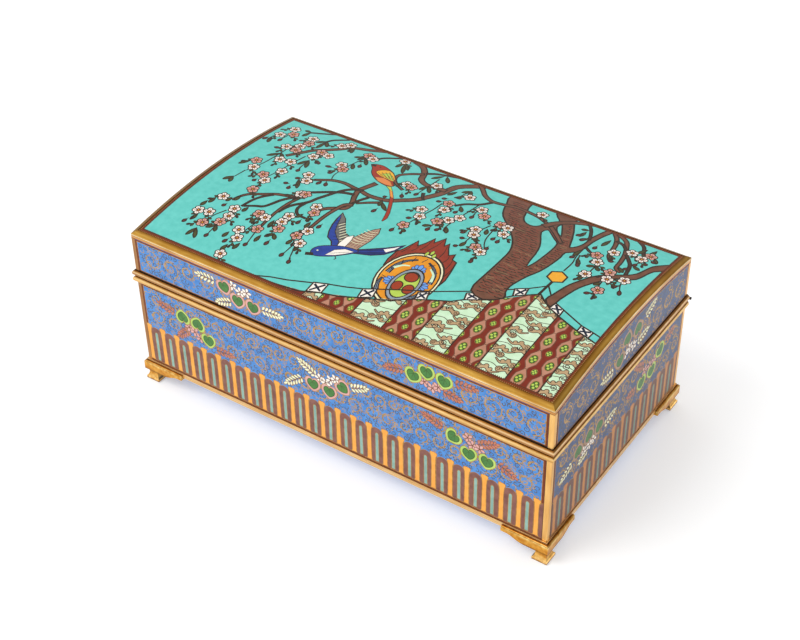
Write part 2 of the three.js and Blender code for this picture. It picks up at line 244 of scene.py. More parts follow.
def toward(start, end, share):
    """The place that is some share of the way from one point to another."""
    return tuple(a + (b - a) * share for a, b in zip(start, end))


def extent(points):
    """The lowest and the highest corner of the box round some points."""
    return [tuple(pick(point[axis] for point in points) for axis in (0, 1)) for pick in (min, max)]


def mirrored(side, u, v=0):
    """A closed outline from its right half, set at a place."""
    return [(u + x, v + y) for x, y in side] + [(u - x, v + y) for x, y in side[::-1]]


def area(points):
    return sum(a[0] * b[1] - b[0] * a[1] for a, b in zip(points, points[1:] + points[:1])) / 2


def smooth(points, steps=4, closed=False):
    """A Catmull-Rom curve through the points."""
    count = len(points)
    last = count if closed else count - 1
    out = []
    for index in range(last):
        before, start, end, after = (
            points[(index + shift) % count] if closed else points[min(max(index + shift, 0), count - 1)]
            for shift in (-1, 0, 1, 2))
        for step in range(steps):
            t = step / steps
            out.append(tuple(0.5 * (2 * start[axis] + (end[axis] - before[axis]) * t
                       + (2 * before[axis] - 5 * start[axis] + 4 * end[axis] - after[axis]) * t * t
                       + (3 * start[axis] - before[axis] - 3 * end[axis] + after[axis]) * t ** 3)
                       for axis in (0, 1)))
    if not closed:
        out.append(tuple(points[-1]))
    return out


def normals(points, closed):
    count = len(points)
    out = []
    for index, point in enumerate(points):
        before = points[index - 1] if closed or index else point
        after = points[(index + 1) % count] if closed or index < count - 1 else point
        sides = []
        for start, end in ((before, point), (point, after)):
            length = math.hypot(end[0] - start[0], end[1] - start[1])
            if length > 1e-9:
                sides.append(((end[1] - start[1]) / length, (start[0] - end[0]) / length))
        x = sum(side[0] for side in sides)
        y = sum(side[1] for side in sides)
        length = math.hypot(x, y)
        if length < 1e-6:
            out.append(sides[0] if sides else (0, 0))
            continue
        reach = min(len(sides) / length, 2.0) / length
        out.append((x * reach, y * reach))
    return out


def grown(points, distance):
    """A closed outline moved outwards, or inwards by a negative distance."""
    if area(points) < 0:
        points = points[::-1]
    return [(x + nx * distance, y + ny * distance)
            for (x, y), (nx, ny) in zip(points, normals(points, True))]


def ribbon(points, width, tip=None):
    """A line of some width, which may run out to another width at its far end."""
    tip = width if tip is None else tip
    last = len(points) - 1
    left, right = [], []
    for index, ((x, y), (nx, ny)) in enumerate(zip(points, normals(points, False))):
        half = (width + (tip - width) * index / last) / 2
        left.append((x + nx * half, y + ny * half))
        right.append((x - nx * half, y - ny * half))
    return left + right[::-1]


def disc(centre, radius, count=10, squash=1.0, turn=0.0):
    out = []
    for index in range(count):
        angle = 2 * math.pi * index / count
        x, y = radius * math.cos(angle), radius * squash * math.sin(angle)
        out.append((centre[0] + x * math.cos(turn) - y * math.sin(turn),
                    centre[1] + x * math.sin(turn) + y * math.cos(turn)))
    return out


def leaf(base, angle, length, width, fullest=0.55):
    """A drop-shaped outline, pointed where it starts."""
    side = [(0.12, 0.3), (0.35, 0.8), (fullest, 1.0), (0.8, 0.8), (0.95, 0.4), (1.0, 0.0)]
    outline = [(0.0, 0.0)] + side + [(along, -across) for along, across in side[-2::-1]]
    return placed([(along * length, across * width / 2) for along, across in outline], base, angle)


def placed(points, centre, angle, scale=1.0):
    c, s = math.cos(angle) * scale, math.sin(angle) * scale
    return [(centre[0] + x * c - y * s, centre[1] + x * s + y * c) for x, y in points]


HEART = [
    (0, -1.0), (0.5, -0.72), (0.88, -0.3), (1.0, 0.16), (0.86, 0.62), (0.5, 0.86), (0.2, 0.8), (0, 0.58),
    (-0.2, 0.8), (-0.5, 0.86), (-0.86, 0.62), (-1.0, 0.16), (-0.88, -0.3), (-0.5, -0.72)]


def cut(points, place, inward):
    """The part of an outline on the inner side of a straight line."""
    depths = [(x - place[0]) * inward[0] + (y - place[1]) * inward[1] for x, y in points]
    out = []
    for index, (start, depth) in enumerate(zip(points, depths)):
        end, beyond = points[(index + 1) % len(points)], depths[(index + 1) % len(points)]
        if depth >= 0:
            out.append(start)
        if (depth >= 0) != (beyond >= 0):
            out.append(toward(start, end, depth / (depth - beyond)))
    return out


def walls_of(low, high):
    return [(low, (1, 0)), (low, (0, 1)), (high, (-1, 0)), (high, (0, -1))]


def kept_within(points, walls):
    """The outlines that are left of one outline between straight walls."""
    walls = [(place, inward) for place, inward in walls
             if min((x - place[0]) * inward[0] + (y - place[1]) * inward[1] for x, y in points) < 0]
    if not walls:
        return [points]
    out = []
    for corners in tessellate_polygon([[Vector((x, y, 0)) for x, y in points]]):
        part = [points[corner] for corner in corners]
        for place, inward in walls:
            part = cut(part, place, inward)
            if len(part) < 3:
                break
        else:
            if abs(area(part)) > 1e-4:
                out.append(part if area(part) > 0 else part[::-1])
    return out


def holds(outline, x, y):
    """Whether an outline runs round a point."""
    turns = 0
    for (x0, y0), (x1, y1) in zip(outline, outline[1:] + outline[:1]):
        if (y0 <= y) != (y1 <= y):
            rising = y1 > y0
            if ((x1 - x0) * (y - y0) - (x - x0) * (y1 - y0) > 0) == rising:
                turns += 1 if rising else -1
    return turns != 0


class Inlay:
    """Cells and wires laid on one face, the later ones over the earlier."""

    def __init__(self):
        self.cells = []
        self.walls = []         # straight lines that the next cells are kept within

    def fill(self, points, finish):
        if area(points) < 0:
            points = points[::-1]
        self.cells += [(part, finish) for part in kept_within(points, self.walls)]

    def cell(self, points, finish, wire="wire", width=WIRE):
        self.fill(grown(points, width / 2), wire)
        self.fill(grown(points, -width / 2), finish)

    def line(self, points, width=WIRE, finish="wire", tip=None):
        self.fill(ribbon(points, width, tip), finish)

    def figure(self, points, finish, width=0.4):
        """A cell of the picture, with a tarnished wire round it."""
        self.cell(points, finish, "dark_wire", width)

    def dark_line(self, points, width, tip=None):
        self.line(points, width, "dark_wire", tip)

    def blossom(self, centre, size, turn, petal):
        """A plum blossom: five petals, each parted by a red vein, round a small eye."""
        angles = [turn + 2 * math.pi * index / 5 for index in range(5)]
        for angle in angles:
            self.fill(disc(polar(centre, angle, size * 0.58), size * 0.56, 9), "dark_wire")
        for angle in angles:
            self.fill(disc(polar(centre, angle, size * 0.6), size * 0.35, 9), petal)
        self.fill(disc(centre, size * 0.42, 8), "rose")
        for angle in angles:
            self.line([centre, polar(centre, angle, size * 0.8)], 0.4, "brick", 0.2)
            self.dark_line([centre, polar(centre, angle + math.pi / 5, size * 0.8)], 0.36, 0.3)
        self.fill(disc(centre, size * 0.13, 6), "gold_yellow")

    def sprig(self, base, angle, length):
        """A forked stalk with two small leaves and a bud."""
        self.dark_line([base, polar(base, angle, length)], 0.4)
        for turn, share in ((-0.8, 0.45), (0.75, 0.75), (0.0, 1.0)):
            place = polar(base, angle, length * share)
            self.fill(grown(leaf(place, angle + turn, 2.0, 1.0, 0.65), 0.2), "dark_wire")
            if turn:
                self.fill(leaf(place, angle + turn, 1.9, 0.7, 0.65), "olive")

    def bud(self, base, angle, length):
        self.dark_line([base, polar(base, angle, length * 0.5)], 0.3)
        self.figure(leaf(polar(base, angle, length * 0.3), angle, length * 0.8, 1.6), "bud", 0.5)

    def heart_leaf(self, centre, angle, size, rim):
        outline = smooth(HEART, 2, True)
        self.cell(placed(outline, centre, angle, size), rim, "wire", 0.3)
        self.cell(placed(outline, centre, angle, size * 0.68), "green", "forest", 0.34)
        for turn in (-0.75, 0, 0.75):
            base = placed([(0, 0.3 * size)], centre, angle)[0]
            self.line([base, polar(base, angle - math.pi / 2 + turn, size * 0.66)], 0.24, "forest", 0.14)

    def plume(self, base, angle, length, width, finish):
        """A fern-like spray: paired leaflets along a rib."""
        pairs = max(4, round(length / 1.9))
        self.line([base, polar(base, angle, length * 0.85)], 0.3, "bark")
        for index in range(pairs):
            share = index / pairs
            start = polar(base, angle, length * (0.02 + 0.84 * share))
            reach = width * (0.5 + 0.3 * share - 0.5 * share * share)
            for side in (-1, 1):
                turn = angle + side * (0.95 - 0.3 * share)
                self.cell(leaf(start, turn, reach, 1.3, 0.7), finish, "bark", 0.18)
        self.cell(leaf(polar(base, angle, length * 0.78), angle, length * 0.24, 1.3), finish, "bark",
                  0.18)

    def floret(self, centre, size, turn, finish):
        for index in range(5):
            angle = turn + 2 * math.pi * index / 5
            self.cell(leaf(polar(centre, angle, 0.15), angle, size, size * 0.62, 0.6), finish, "bark", 0.2)
        self.fill(disc(centre, 0.34, 6), "rust")

    def scroll(self, centre, radius, start, turns, way, width, finish):
        count = max(8, int(turns * 11))
        points = []
        for index in range(count + 1):
            share = index / count
            angle = start + way * share * turns * 2 * math.pi
            points.append(polar(centre, angle, radius * (1 - 0.8 * share)))
        self.line(points, width, finish)

    def scroll_ground(self, low, high, rows, seed):
        """Small curls that hold the enamel over the whole ground, and gilt running scrolls with
        curled barbs. Each row is a level and the size of its scrolls."""
        chance = random.Random(seed)
        pitch = CURL_PITCH
        count = max(1, round((high[1] - low[1]) / (pitch * 0.86)))
        step = (high[1] - low[1]) / count
        for row in range(count):
            x = low[0] + pitch * (0.5 if row % 2 else 1.0)
            while x < high[0] - pitch * 0.3:
                centre = (x + chance.uniform(-0.4, 0.4),
                          low[1] + step * (row + 0.5) + chance.uniform(-0.35, 0.35))
                self.scroll(centre, pitch * chance.uniform(0.4, 0.6), chance.uniform(0, 6.28),
                            chance.uniform(0.6, 1.2), chance.choice((-1, 1)), 0.33,
                            chance.choice(("shade_wire", "shade_wire", "scroll_wire")))
                x += pitch
        for level, lift in rows:
            x, way = low[0] + chance.uniform(0.5, 2.5), 1
            while x < high[0] - lift * 1.6:
                size = lift * chance.uniform(0.75, 1.0)
                middle = (x + size, level + way * (lift - size) + chance.uniform(-0.6, 0.6))
                turn = way * math.pi * 0.5 + chance.uniform(-0.5, 0.5)
                self.scroll(middle, size, turn, 1.45, -way, 0.44, "scroll_wire")
                for barb in range(BARBS):
                    angle = turn - way * barb * 0.62
                    root = polar(middle, angle, size * (1 - 0.085 * barb))
                    hook = [root, polar(root, angle - way * 0.5, size * 0.26),
                            polar(root, angle + way * 0.7, size * 0.4)]
                    self.line(smooth(hook, 3), 0.36, "scroll_wire", 0.26)
                x += size * chance.uniform(1.9, 2.3)
                way = -way


# ---- laying a design on a face ----

PLATE_DEPTH = 0.5
GRID = 2000                     # corners meet on a grid of this many steps to a millimetre
TOUCHING = 2e-3


def sure_origins(points, faces, made):
    """Which outlines each triangle belongs to; an outline whose cover is wrong is tested again by its shape."""
    spots, shapes = made[0], made[2]
    origins = [set(origin) for origin in made[5]]
    cover = [0.0] * len(faces)
    middles = []
    for shape, origin in zip(shapes, origins):
        corners = [spots[corner] for corner in shape]
        size = abs(area(corners))
        middles.append((sum(corner[0] for corner in corners) / 3, sum(corner[1] for corner in corners) / 3))
        for face in origin:
            cover[face] += size
    for face, corners in enumerate(faces):
        outline = [tuple(points[corner]) for corner in corners]
        size = abs(area(outline))
        if abs(cover[face] - size) > 0.03 + 0.05 * size:
            low, high = extent(outline)
            for origin, (x, y) in zip(origins, middles):
                origin.discard(face)
                if low[0] < x < high[0] and low[1] < y < high[1] and holds(outline, x, y):
                    origin.add(face)
    return origins


def lay(name, region, inlay, surface, rides_on, tiles, bars=()):
    """Cuts the flat design into one flush layer of cells and puts it on a face as a thin plate.
    surface(u, v, depth) gives the place in metres; bars are levels where the face bends."""
    low, high = extent(region)
    places, index_of, triangles, finishes = [], {}, [], []

    def vertex(point):
        key = (round(point[0] * GRID), round(point[1] * GRID))
        if key not in index_of:
            index_of[key] = len(places)
            places.append((point[0], point[1]))
        return index_of[key]

    boxes = [extent(points) for points, _ in inlay.cells]
    levels = sorted({low[1], high[1], *bars})
    shares = [index / tiles[1] for index in range(tiles[1] + 1)]
    rows = [levels[round(share * (len(levels) - 1))] if bars else low[1] + (high[1] - low[1]) * share
            for share in shares]
    columns = [low[0] + (high[0] - low[0]) * column / tiles[0] for column in range(tiles[0] + 1)]
    for left, right in zip(columns, columns[1:]):
        for bottom, top in zip(rows, rows[1:]):
            walls = walls_of((left, bottom), (right, top))
            ground = region
            for place, inward in walls:
                ground = cut(ground, place, inward)
            outlines = [(ground, inlay.cells[0][1])]
            for (outline, finish), (least, most) in zip(inlay.cells, boxes):
                if least[0] < right and most[0] > left and least[1] < top and most[1] > bottom:
                    outlines += [(part, finish) for part in kept_within(outline, walls)]
            points, edges, faces = [], [], []
            for outline, _ in outlines:
                faces.append(list(range(len(points), len(points) + len(outline))))
                points.extend(Vector(point) for point in outline)
            for level in levels:
                if bottom < level < top:
                    edges.append((len(points), len(points) + 1))
                    points.extend((Vector((left, level)), Vector((right, level))))
            made = delaunay_2d_cdt(points, edges, faces, 2, 1e-5, True)
            for shape, origin in zip(made[2], sure_origins(points, faces, made)):
                corners = [vertex(made[0][corner]) for corner in shape] if 0 in origin else ()
                if len(set(corners)) == 3:
                    finish = outlines[max(origin)][1]
                    if finish not in finishes:
                        finishes.append(finish)
                    triangles.append(corners + [finishes.index(finish)])
    levels = levels if bars else []
    places, triangles = merged(places, triangles, levels)
    return plate(name, region, places, triangles, finishes, surface, rides_on, levels)


def merged(places, triangles, levels):
    """Joins neighbouring triangles of one finish, but not over a bend, and cuts the cells into
    triangles again."""
    flat = bpy.data.meshes.new("flat_design")
    flat.from_pydata([(u, v, 0) for u, v in places], [], [triangle[:3] for triangle in triangles])
    flat.polygons.foreach_set("material_index", [triangle[3] for triangle in triangles])
    work = bmesh.new()
    work.from_mesh(flat)
    bpy.data.meshes.remove(flat)
    for edge in work.edges:
        start, end = (corner.co.y for corner in edge.verts)
        if abs(start - end) < TOUCHING:
            edge.seam = any(abs(start - level) < TOUCHING for level in levels)
    bmesh.ops.dissolve_limit(work, angle_limit=math.radians(2.5), verts=work.verts, edges=work.edges,
                             delimit={"MATERIAL", "SEAM"})
    bmesh.ops.triangulate(work, faces=work.faces)
    work.verts.index_update()
    places = [(corner.co.x, corner.co.y) for corner in work.verts]
    triangles = [[corner.index for corner in face.verts] + [face.material_index] for face in work.faces]
    work.free()
    return places, triangles


def plate(name, region, places, triangles, finishes, surface, rides_on, levels):
    """The flat cells laid on a face, with a rim round them and a plain underside."""
    used = dict.fromkeys(edge for a, b, c, _ in triangles for edge in ((a, b), (b, c), (c, a)))

    def on_rim(a, b):
        for start, end in zip(region, region[1:] + region[:1]):
            length = math.hypot(end[0] - start[0], end[1] - start[1])
            if all(abs((end[0] - start[0]) * (places[i][1] - start[1])
                       - (end[1] - start[1]) * (places[i][0] - start[0])) < TOUCHING * length for i in (a, b)):
                return True
        return False
    rim = [edge for edge in used if (edge[1], edge[0]) not in used and on_rim(*edge)]
    vertices = [surface(u, v, 0) for u, v in places]
    faces = [tuple(triangle[:3]) for triangle in triangles]
    kinds = [triangle[3] for triangle in triangles]
    under = {}
    for edge in rim:
        for corner in edge:
            if corner not in under:
                under[corner] = len(vertices)
                vertices.append(surface(*places[corner], PLATE_DEPTH))
    for a, b in rim:
        faces.append((b, a, under[a], under[b]))
        kinds.append(0)
    order = list(under)
    position = {corner: index for index, corner in enumerate(order)}
    edges = [(position[a], position[b]) for a, b in rim]
    flat = [Vector(places[corner]) for corner in order]
    for level in levels[1:-1]:
        ends = [position[corner] for corner in order if abs(places[corner][1] - level) < 1e-3]
        if len(ends) == 2:
            edges.append(tuple(ends))
    whole = list(range(len(flat), len(flat) + len(region)))
    flat += [Vector(point) for point in region]
    made = delaunay_2d_cdt(flat, edges, [whole], 2, 1e-4, True)
    for shape, origin in zip(made[2], made[5]):
        sources = [[source for source in made[3][corner] if source < len(order)] for corner in shape]
        if origin and all(sources):
            faces.append(tuple(under[order[source[0]]] for source in reversed(sources)))
            kinds.append(0)
    mesh = bpy.data.meshes.new(name)
    mesh.from_pydata(vertices, [], faces)
    mesh.polygons.foreach_set("material_index", kinds)
    for finish in finishes:
        mesh.materials.append(FINISHES[finish])
    mesh.validate()
    if levels:
        mesh.shade_smooth()
        above = [Vector((0, (v - WIDTH / 2) / PICTURE_RADIUS, 1)).normalized() for _, v in places]
        mesh.normals_split_custom_set_from_vertices(above + [-above[corner] for corner in order])
    item = bpy.data.objects.new(name, mesh)
    bpy.context.scene.collection.objects.link(item)
    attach(item, rides_on)
    return item


# ---- the faces of the box ----

def reach(name):
    low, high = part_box(name)
    return [value / MM for value in low], [value / MM for value in high]


BODY_LOW, BODY_HIGH = reach("box_body")
LEFT, RIGHT = BODY_LOW[0], BODY_HIGH[0]
FRONT, BACK = BODY_LOW[1], BODY_HIGH[1]
LENGTH, WIDTH = RIGHT - LEFT, BACK - FRONT
PROUD = 0.06                    # the polished enamel stands a hair above the copper's edge
STRIP = 2.25                    # corner strip and its joint
BODY_FOOT = reach("body_base_band")[1][2] + 0.1
BODY_TOP = reach("body_rim")[0][2] - 0.1
LID_FOOT = reach("lid_rim")[1][2] + 0.1
LID_TOP = reach("lid_strip_front_left")[1][2]
LID_EDGE = 77.2
ARCH_RISE = 4.7
ARCH_RADIUS = (WIDTH ** 2 / 4 + ARCH_RISE ** 2) / (2 * ARCH_RISE)
PICTURE_INSET = 2.6
PICTURE_BARS = 20               # flat bars that the curve of the picture is made of
PICTURE_RADIUS = ARCH_RADIUS + 0.6 + PROUD


def arch(v, radius=ARCH_RADIUS):
    return LID_EDGE + ARCH_RISE - ARCH_RADIUS + math.sqrt(radius ** 2 - (v - WIDTH / 2) ** 2)


def metres(x, y, z):
    return (x * MM, y * MM, z * MM)


FACES = {
    "front": lambda u, v, depth: metres(LEFT + u, FRONT - PROUD + depth, v),
    "right": lambda u, v, depth: metres(RIGHT + PROUD - depth, FRONT + u, v),
    "back": lambda u, v, depth: metres(RIGHT - u, BACK + PROUD - depth, v),
    "left": lambda u, v, depth: metres(LEFT - PROUD + depth, BACK - u, v),
    "top": lambda u, v, depth: metres(LEFT + u, FRONT + v, arch(v, PICTURE_RADIUS) - depth),
}


def box_outline(left, bottom, right, top):
    return [(left, bottom), (right, bottom), (right, top), (left, top)]


def arched_outline(left, bottom, right, below):
    steps = 22
    top = [(right + (left - right) * index / steps) for index in range(steps + 1)]
    return [(left, bottom), (right, bottom)] + [(u, arch(u) - below) for u in top]


# ---- side panels ----

LAPPET_HEAD = 31.0
BODY_SCROLLS = ((46.6, 3.7), (37.6, 4.3))
LID_SCROLLS = ((67.6, 5.2),)


def lappets(inlay, foot, first, last, count, finishes):
    """The border of upright bars: orange pillars, and between them arch-headed lappets, bent by hand."""
    ground, bar, pillar = finishes
    head = LAPPET_HEAD
    chance = random.Random(count)
    pitch = (last - first) / (count - 1)
    half = pitch * 0.5 - 0.95
    inlay.fill(box_outline(first - pitch, foot, last + pitch, head - 1.6), ground)
    for index in range(-1, count):
        middle = first + (index + 0.5) * pitch + chance.uniform(-0.12, 0.12)
        arc = [polar((middle, head - half - 0.5), math.pi * step / 8, half) for step in range(9)]
        inlay.cell([(middle - half, foot), (middle + half, foot)] + arc, ground, "wire", 0.26)
        lean = chance.uniform(-0.15, 0.15)
        tip = [(middle + x + lean, head - drop)
               for x, drop in ((0.78, 4.0), (0.4, 3.2), (-0.4, 3.2), (-0.78, 4.0))]
        inlay.cell([(middle - 0.8, foot + 0.5), (middle + 0.8, foot + 0.5)] + tip, bar, "wire", 0.24)
    side = [(1.35, foot + 0.15), (1.05, foot + 1.0), (0.92, head - 6.0), (1.1, head - 2.2), (1.7, head - 0.7),
            (1.5, head + 0.2), (0.6, head + 0.45)]
    for index in range(count):
        middle = first + index * pitch + chance.uniform(-0.1, 0.1)
        inlay.cell(mirrored(side, middle + chance.uniform(-0.12, 0.12)), pillar, "wire", 0.28)


def spray(inlay, finishes, hearts, plumes, florets, shift=(0, 0)):
    """Heart-shaped leaves, plumes and florets in one bunch."""
    rim, plume, floret = finishes
    for u, v, angle, length in plumes:
        inlay.plume((u + shift[0], v + shift[1]), math.radians(angle), length, PLUME_WIDTH, plume)
    for u, v in florets:
        inlay.floret((u + shift[0], v + shift[1]), FLORET, u, floret)
    for u, v, angle in hearts:
        inlay.heart_leaf((u + shift[0], v + shift[1]), math.radians(angle), HEART_SIZE, rim)


def side_panel(part, face, outline, ground_box, ground, tiles, border, sprays, seed):
    inlay = Inlay()
    inlay.fill(outline, "rust")
    foot = min(point[1] for point in outline)
    # On the lid, a dark band along the foot of the panel paints the shade in the crevice above the lid's bead.
    if part == "lid":
        inlay.fill(box_outline(0, foot - 1, LENGTH, foot + 0.55), "joint")
    inlay.cell(ground_box, ground, "wire", 0.3)
    low, high = extent(ground_box)
    lowest = LAPPET_HEAD if border else low[1] + 0.2
    inlay.scroll_ground((low[0] + 0.3, lowest), (high[0] - 0.3, high[1] - 0.2),
                        BODY_SCROLLS if border else LID_SCROLLS, seed)
    if border:
        lappets(inlay, low[1], *border)
    for bunch in sprays:
        spray(inlay, *bunch)
    lay(f"{part}_panel_{face}", outline, inlay, FACES[face], part, (tiles, 1))


# the finishes of a bunch: the leaves' rims, the plumes and the florets
WARM, PALE, DULL = ("lime", "rose", "pink"), ("pink", "cream", "white"), ("tan", "cream", "white")
# bunches: the leaves' places and turns, the plumes' places, turns and lengths, the florets' places
CREAM_SPRAY = (PALE, [(91.2, 38.9, 4), (99.3, 38.5, 0), (106.1, 43.7, 52)],
               [(93.0, 44.0, 150, 10.6), (85.8, 39.6, 218, 12), (110.0, 45.6, 22, 9.6)],
               [(94.7, 43.4), (97.7, 42.6), (100.3, 45.0), (102.6, 46.4)])
END_SPRAY = (DULL, [(50.6, 65.2, 10), (55.8, 72.4, 160), (64.6, 71.8, 190)],
             [(45.6, 63.6, 176, 10.4), (65.0, 64.4, 8, 10.2), (70.6, 73.4, 22, 9.6)],
             [(55.0, 65.4), (58.6, 66.6), (62.0, 65.2)])
FRONT_BODY = [
    (WARM, [(23.8, 43.7, 186), (31.9, 43.2, 170), (37.1, 36.8, 8)],
     [(19.6, 44.2, 168, 10), (26.6, 37.8, 222, 9.5), (41.0, 33.6, 4, 10)],
     [(27.0, 39.6), (29.8, 38.4), (32.6, 36.2)]),
    CREAM_SPRAY,
    (WARM, [(157.6, 43.9, -42), (164.7, 38.6, 6), (172.8, 38.5, -8)],
     [(153.0, 46.4, 163, 10.6), (168.6, 45.4, 26, 10.6), (177.6, 40.2, -24, 9.6)],
     [(164.1, 46.6), (166.2, 43.7), (169.4, 43.4)])]
FRONT_LID = [
    (PALE, [(48.8, 69.9, 20), (55.4, 65.6, 0), (63.1, 65.5, -10)],
     [(44.0, 70.8, 178, 10.4), (51.8, 63.4, 200, 9), (67.6, 66.2, 4, 11)],
     [(53.4, 72.2), (57.0, 70.6), (60.4, 71.6)]),
    (WARM, [(139.4, 66.0, -20), (145.6, 70.2, 4), (153.4, 69.3, -8)],
     [(135.0, 66.8, 196, 9.6), (153.0, 64.4, -8, 9), (158.2, 70.6, 8, 10.4)],
     [(144.6, 65.2), (148.2, 63.8), (150.8, 65.4)])]
END_BODY = [
    (DULL, [(21.0, 41.6, 178), (29.2, 43.4, 186), (37.4, 42.2, 200)],
     [(16.4, 39.0, 200, 10), (28.6, 36.4, 196, 7.6), (42.0, 38.8, 12, 10)],
     [(25.6, 38.4), (30.0, 38.0), (33.4, 38.8)]),
    (WARM, [(73.0, 38.2, 0), (81.8, 38.4, 4), (88.4, 44.6, 30)],
     [(68.0, 38.2, 172, 8), (73.6, 46.6, 152, 9), (93.6, 46.2, 20, 8)],
     [(75.2, 43.2), (79.6, 42.6), (83.4, 43.4)])]

LONG_BODY = ("body", box_outline(STRIP, BODY_FOOT, LENGTH - STRIP, BODY_TOP),
             box_outline(STRIP + 0.9, BODY_FOOT + 0.8, LENGTH - STRIP - 1.1, BODY_TOP - 1.0), "blue", 12,
             (3.2, 194.9, 26, ("brown", "teal", "orange")))
LONG_LID = ("lid", box_outline(STRIP, LID_FOOT, LENGTH - STRIP, LID_TOP),
            box_outline(STRIP + 1.0, LID_FOOT + 0.9, LENGTH - STRIP - 1.0, LID_TOP - 0.8), "blue", 9, None)
# The end panels take the darker copies of the enamels, which paint shade on them.
SHORT_BODY = ("body", box_outline(STRIP, BODY_FOOT, WIDTH - STRIP, BODY_TOP),
              box_outline(STRIP + 0.9, BODY_FOOT + 0.8, WIDTH - STRIP - 0.9, BODY_TOP - 0.9), "end_blue", 7,
              (4.6, WIDTH - 4.6, 14, ("end_brown", "end_teal", "end_orange")))
SHORT_LID = ("lid", arched_outline(STRIP, LID_FOOT, WIDTH - STRIP, 2.0),
             arched_outline(STRIP + 0.9, LID_FOOT + 0.8, WIDTH - STRIP - 0.9, 2.8), "end_blue", 5, None)
# The sides away from the viewer are plainer: one bunch on the body and none on the lid.
PANELS = [("front", LONG_BODY, FRONT_BODY), ("front", LONG_LID, FRONT_LID), ("right", SHORT_BODY, END_BODY),
          ("right", SHORT_LID, [END_SPRAY]), ("back", LONG_BODY, [CREAM_SPRAY]), ("back", LONG_LID, []),
          ("left", SHORT_BODY, [(*END_SPRAY, (-3.5, -26.5))]), ("left", SHORT_LID, [])]
for panel_seed, (face, (part, *layout), sprays) in enumerate(PANELS, 3):
    if face in ("front", "right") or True:
        side_panel(part, face, *layout, sprays, panel_seed)

# ---- the lid's picture ----

TREE = [
    (118, 107.5), (120, 100), (122, 94), (124.5, 89.5), (129, 85), (133, 81), (137, 76), (139.5, 71),
    (140.6, 66), (140.7, 58), (140.5, 50), (140.2, 45), (140.9, 38.3), (147.5, 36), (154, 40.6), (152.8, 44),
    (152.4, 48), (153.5, 53), (154.9, 57.5), (157.2, 63), (158.5, 70), (159, 76), (158.9, 80), (162.5, 83.5),
    (163.5, 88), (163.8, 94), (165, 101), (166.6, 107.5), (164.2, 107.5), (162.5, 101), (161.7, 96),
    (161.7, 91), (160.5, 87), (158.5, 84.6), (157.5, 86.5), (156, 91), (153.5, 97), (150.5, 103), (149, 107.5),
    (140.5, 107.5), (142.5, 103.3), (145, 100.5), (143.2, 96.5), (141, 93.6), (139.5, 91), (137, 90), (134, 91),
    (132, 93.5), (130.8, 97), (129, 103), (127.5, 107.5)]
FORKS = [
    [(143.4, 88), (144.6, 91.3), (147, 89.5), (150.4, 86.4), (153, 84), (153.5, 78), (153.2, 72), (152.6, 66.5),
    (151.3, 62.6), (150.3, 67), (149.8, 72), (148.4, 78), (146, 83)], [(146.4, 95.8), (147.1, 98.6),
    (149.2, 94.8), (151.4, 90.1), (148.6, 92)]]
BOUGH = [
    (169.8, 57), (171, 61.5), (173, 65.8), (175.6, 71), (179, 75), (183, 78), (186.5, 80.4), (189, 83.5),
    (190.3, 88), (191.6, 92), (194, 95), (198, 98.5), (198, 93.6), (193.4, 88.5), (192, 84), (190.5, 79.5),
    (187, 76.6), (184, 75.4), (181, 72), (178, 67.5), (175.2, 62), (173.8, 57), (172.6, 51.5), (171.6, 45.4),
    (168, 48.6), (168.8, 52.5)]
